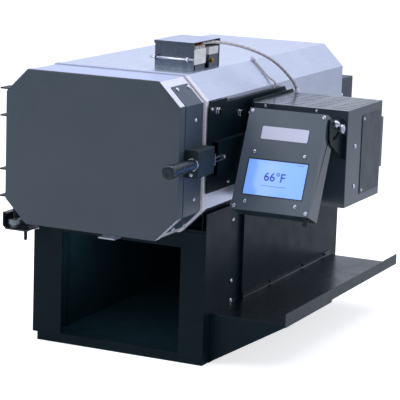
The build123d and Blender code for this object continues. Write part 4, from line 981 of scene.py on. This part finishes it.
def rope(name, inset, thickness, squeeze):
    """Closed rope pressed flat along Y."""
    curve = nurbs(name, rope_line(inset), thickness, 5)
    curve.data.splines[0].use_endpoint_u = False
    curve.data.splines[0].use_cyclic_u = True
    curve.data.use_fill_caps = False
    curve.data.resolution_u = 10
    mesh = meshed(curve)
    to_middle = Matrix.Translation((0, -ROPE_Y / 1000, 0))
    mesh.transform(to_middle.inverted() @ Matrix.Diagonal((1, squeeze, 1, 1)) @ to_middle)
    return smooth_piece(name, mesh)

door_rope = rope("door_rope", 14.5, 10.9, 0.335)
fit(door_rope, "base", "gasket", "door_gasket",
    finish=woven("woven_rope", "e2dfd6", "b5b0a4", 8.0, 210.0, 0.5))
print("rope vertices:", len(door_rope.data.vertices))

# %% [markdown]
# ## Floor, backdrop and light
# The kiln stands in a white studio. The floor is pale and diffuse, so it keeps the contact
# shadow, and a little glow that only camera rays see lifts the lit part to white. To mirrors
# the world is white behind the kiln and dim on the photographer's side, which gives bare
# metal its darker fronts.

# %% Floor
CAMERA_GLOW = 0.7


def floor_finish():
    """Pale floor that reads as white where it is lit."""
    material, tree, shader = new_finish("studio_floor", Roughness=0.9, Specular_IOR_Level=0.1)
    shader.inputs["Base Color"].default_value = (0.74, 0.74, 0.75, 1)
    seen = add(tree, "LightPath").outputs["Is Camera Ray"]
    glow = add(tree, "Math", {0: seen, 1: CAMERA_GLOW}, operation="MULTIPLY").outputs[0]
    lift = add(tree, "Emission", {"Color": (1, 1, 1, 1), "Strength": glow})
    both = add(tree, "AddShader", {0: shader.outputs[0], 1: lift.outputs[0]})
    out = next(n for n in tree.nodes if n.type == "OUTPUT_MATERIAL")
    tree.links.new(both.outputs[0], out.inputs["Surface"])
    return material

clear()
bpy.ops.mesh.primitive_plane_add(size=16, location=(0, 0, 0))
floor = settle("studio_floor")
floor.data.materials.append(floor_finish())
print("floor:", round(floor.dimensions.x), "m wide")

# %% World
FRONT_LIGHT, SOFT_LIGHT = 0.16, 0.62


def studio_world():
    """White to the camera, dimmer in front for mirrors, soft fill for the rest."""
    world = bpy.data.worlds.new("studio")
    scene.world = world
    world.use_nodes = True
    tree = world.node_tree
    tree.nodes.clear()
    path = add(tree, "LightPath").outputs
    way = add(tree, "SeparateXYZ", {0: add(tree, "TexCoord").outputs["Generated"]}).outputs
    back = add(tree, "MapRange", {"Value": way["Y"], "From Min": -0.75, "From Max": 0.25,
                                  "To Min": FRONT_LIGHT, "To Max": 1.0}).outputs[0]
    mirror = add(tree, "Math", {0: path["Is Glossy Ray"], 1: path["Is Transmission Ray"]},
                 operation="MAXIMUM").outputs[0]
    soft = add(tree, "Mix", {0: mirror, 2: SOFT_LIGHT, 3: back}, data_type="FLOAT").outputs[0]
    seen = path["Is Camera Ray"]
    power = add(tree, "Mix", {0: seen, 2: soft, 3: 1.0}, data_type="FLOAT").outputs[0]
    tint = mix(tree, seen, colour("e2e9fc"), (1, 1, 1, 1))
    glow = add(tree, "Background", {"Color": tint, "Strength": power})
    add(tree, "OutputWorld", {"Surface": glow.outputs[0]})

studio_world()
print("world:", scene.world.name)

# %% [markdown]
# ## Lamps
# Product photographs of metal use big soft boxes, because a mirror shows the lamp itself.
# One overhead paints the roof and the box tops pale blue, one on the right lights the long
# side, and one from the left front shapes the door. A hand-sized one under the front rail
# lifts the inside of the stand out of pure black.

# %% Lamps
def soft_box(name, location, target, width, height, power, tone="ffffff"):
    """Rectangular area lamp aimed at a point in metres."""
    data = bpy.data.lights.new(name, "AREA")
    data.shape, data.size, data.size_y = "RECTANGLE", width, height
    data.energy, data.color = power, colour(tone)[:3]
    lamp = bpy.data.objects.new(name, data)
    scene.collection.objects.link(lamp)
    aim = (Vector(target) - Vector(location)).to_track_quat("-Z", "Y")
    lamp.matrix_world = Matrix.Translation(location) @ aim.to_matrix().to_4x4()

soft_box("overhead_box", (0.1, 0.3, 2.3), (0.1, 0.0, 0.3), 2.4, 2.4, 35, "eef2ff")
soft_box("right_box", (2.6, 0.6, 1.0), (0.1, 0.0, 0.3), 1.6, 1.4, 10, "f4f6ff")
soft_box("front_box", (-1.4, -2.2, 1.5), (0.0, -0.3, 0.3), 1.2, 1.2, 20, "ffffff")
soft_box("inside_fill", (-0.06, -0.25, 0.195), (0.1, 0.1, 0.03), 0.1, 0.04, 0.45, "eaf6ff")

# %% [markdown]
# ## Colour management and the last line
# The Standard view shows colours as they are written, which suits a part judged against
# its paint chart.

# %% Finish
scene.view_settings.view_transform = "Standard"
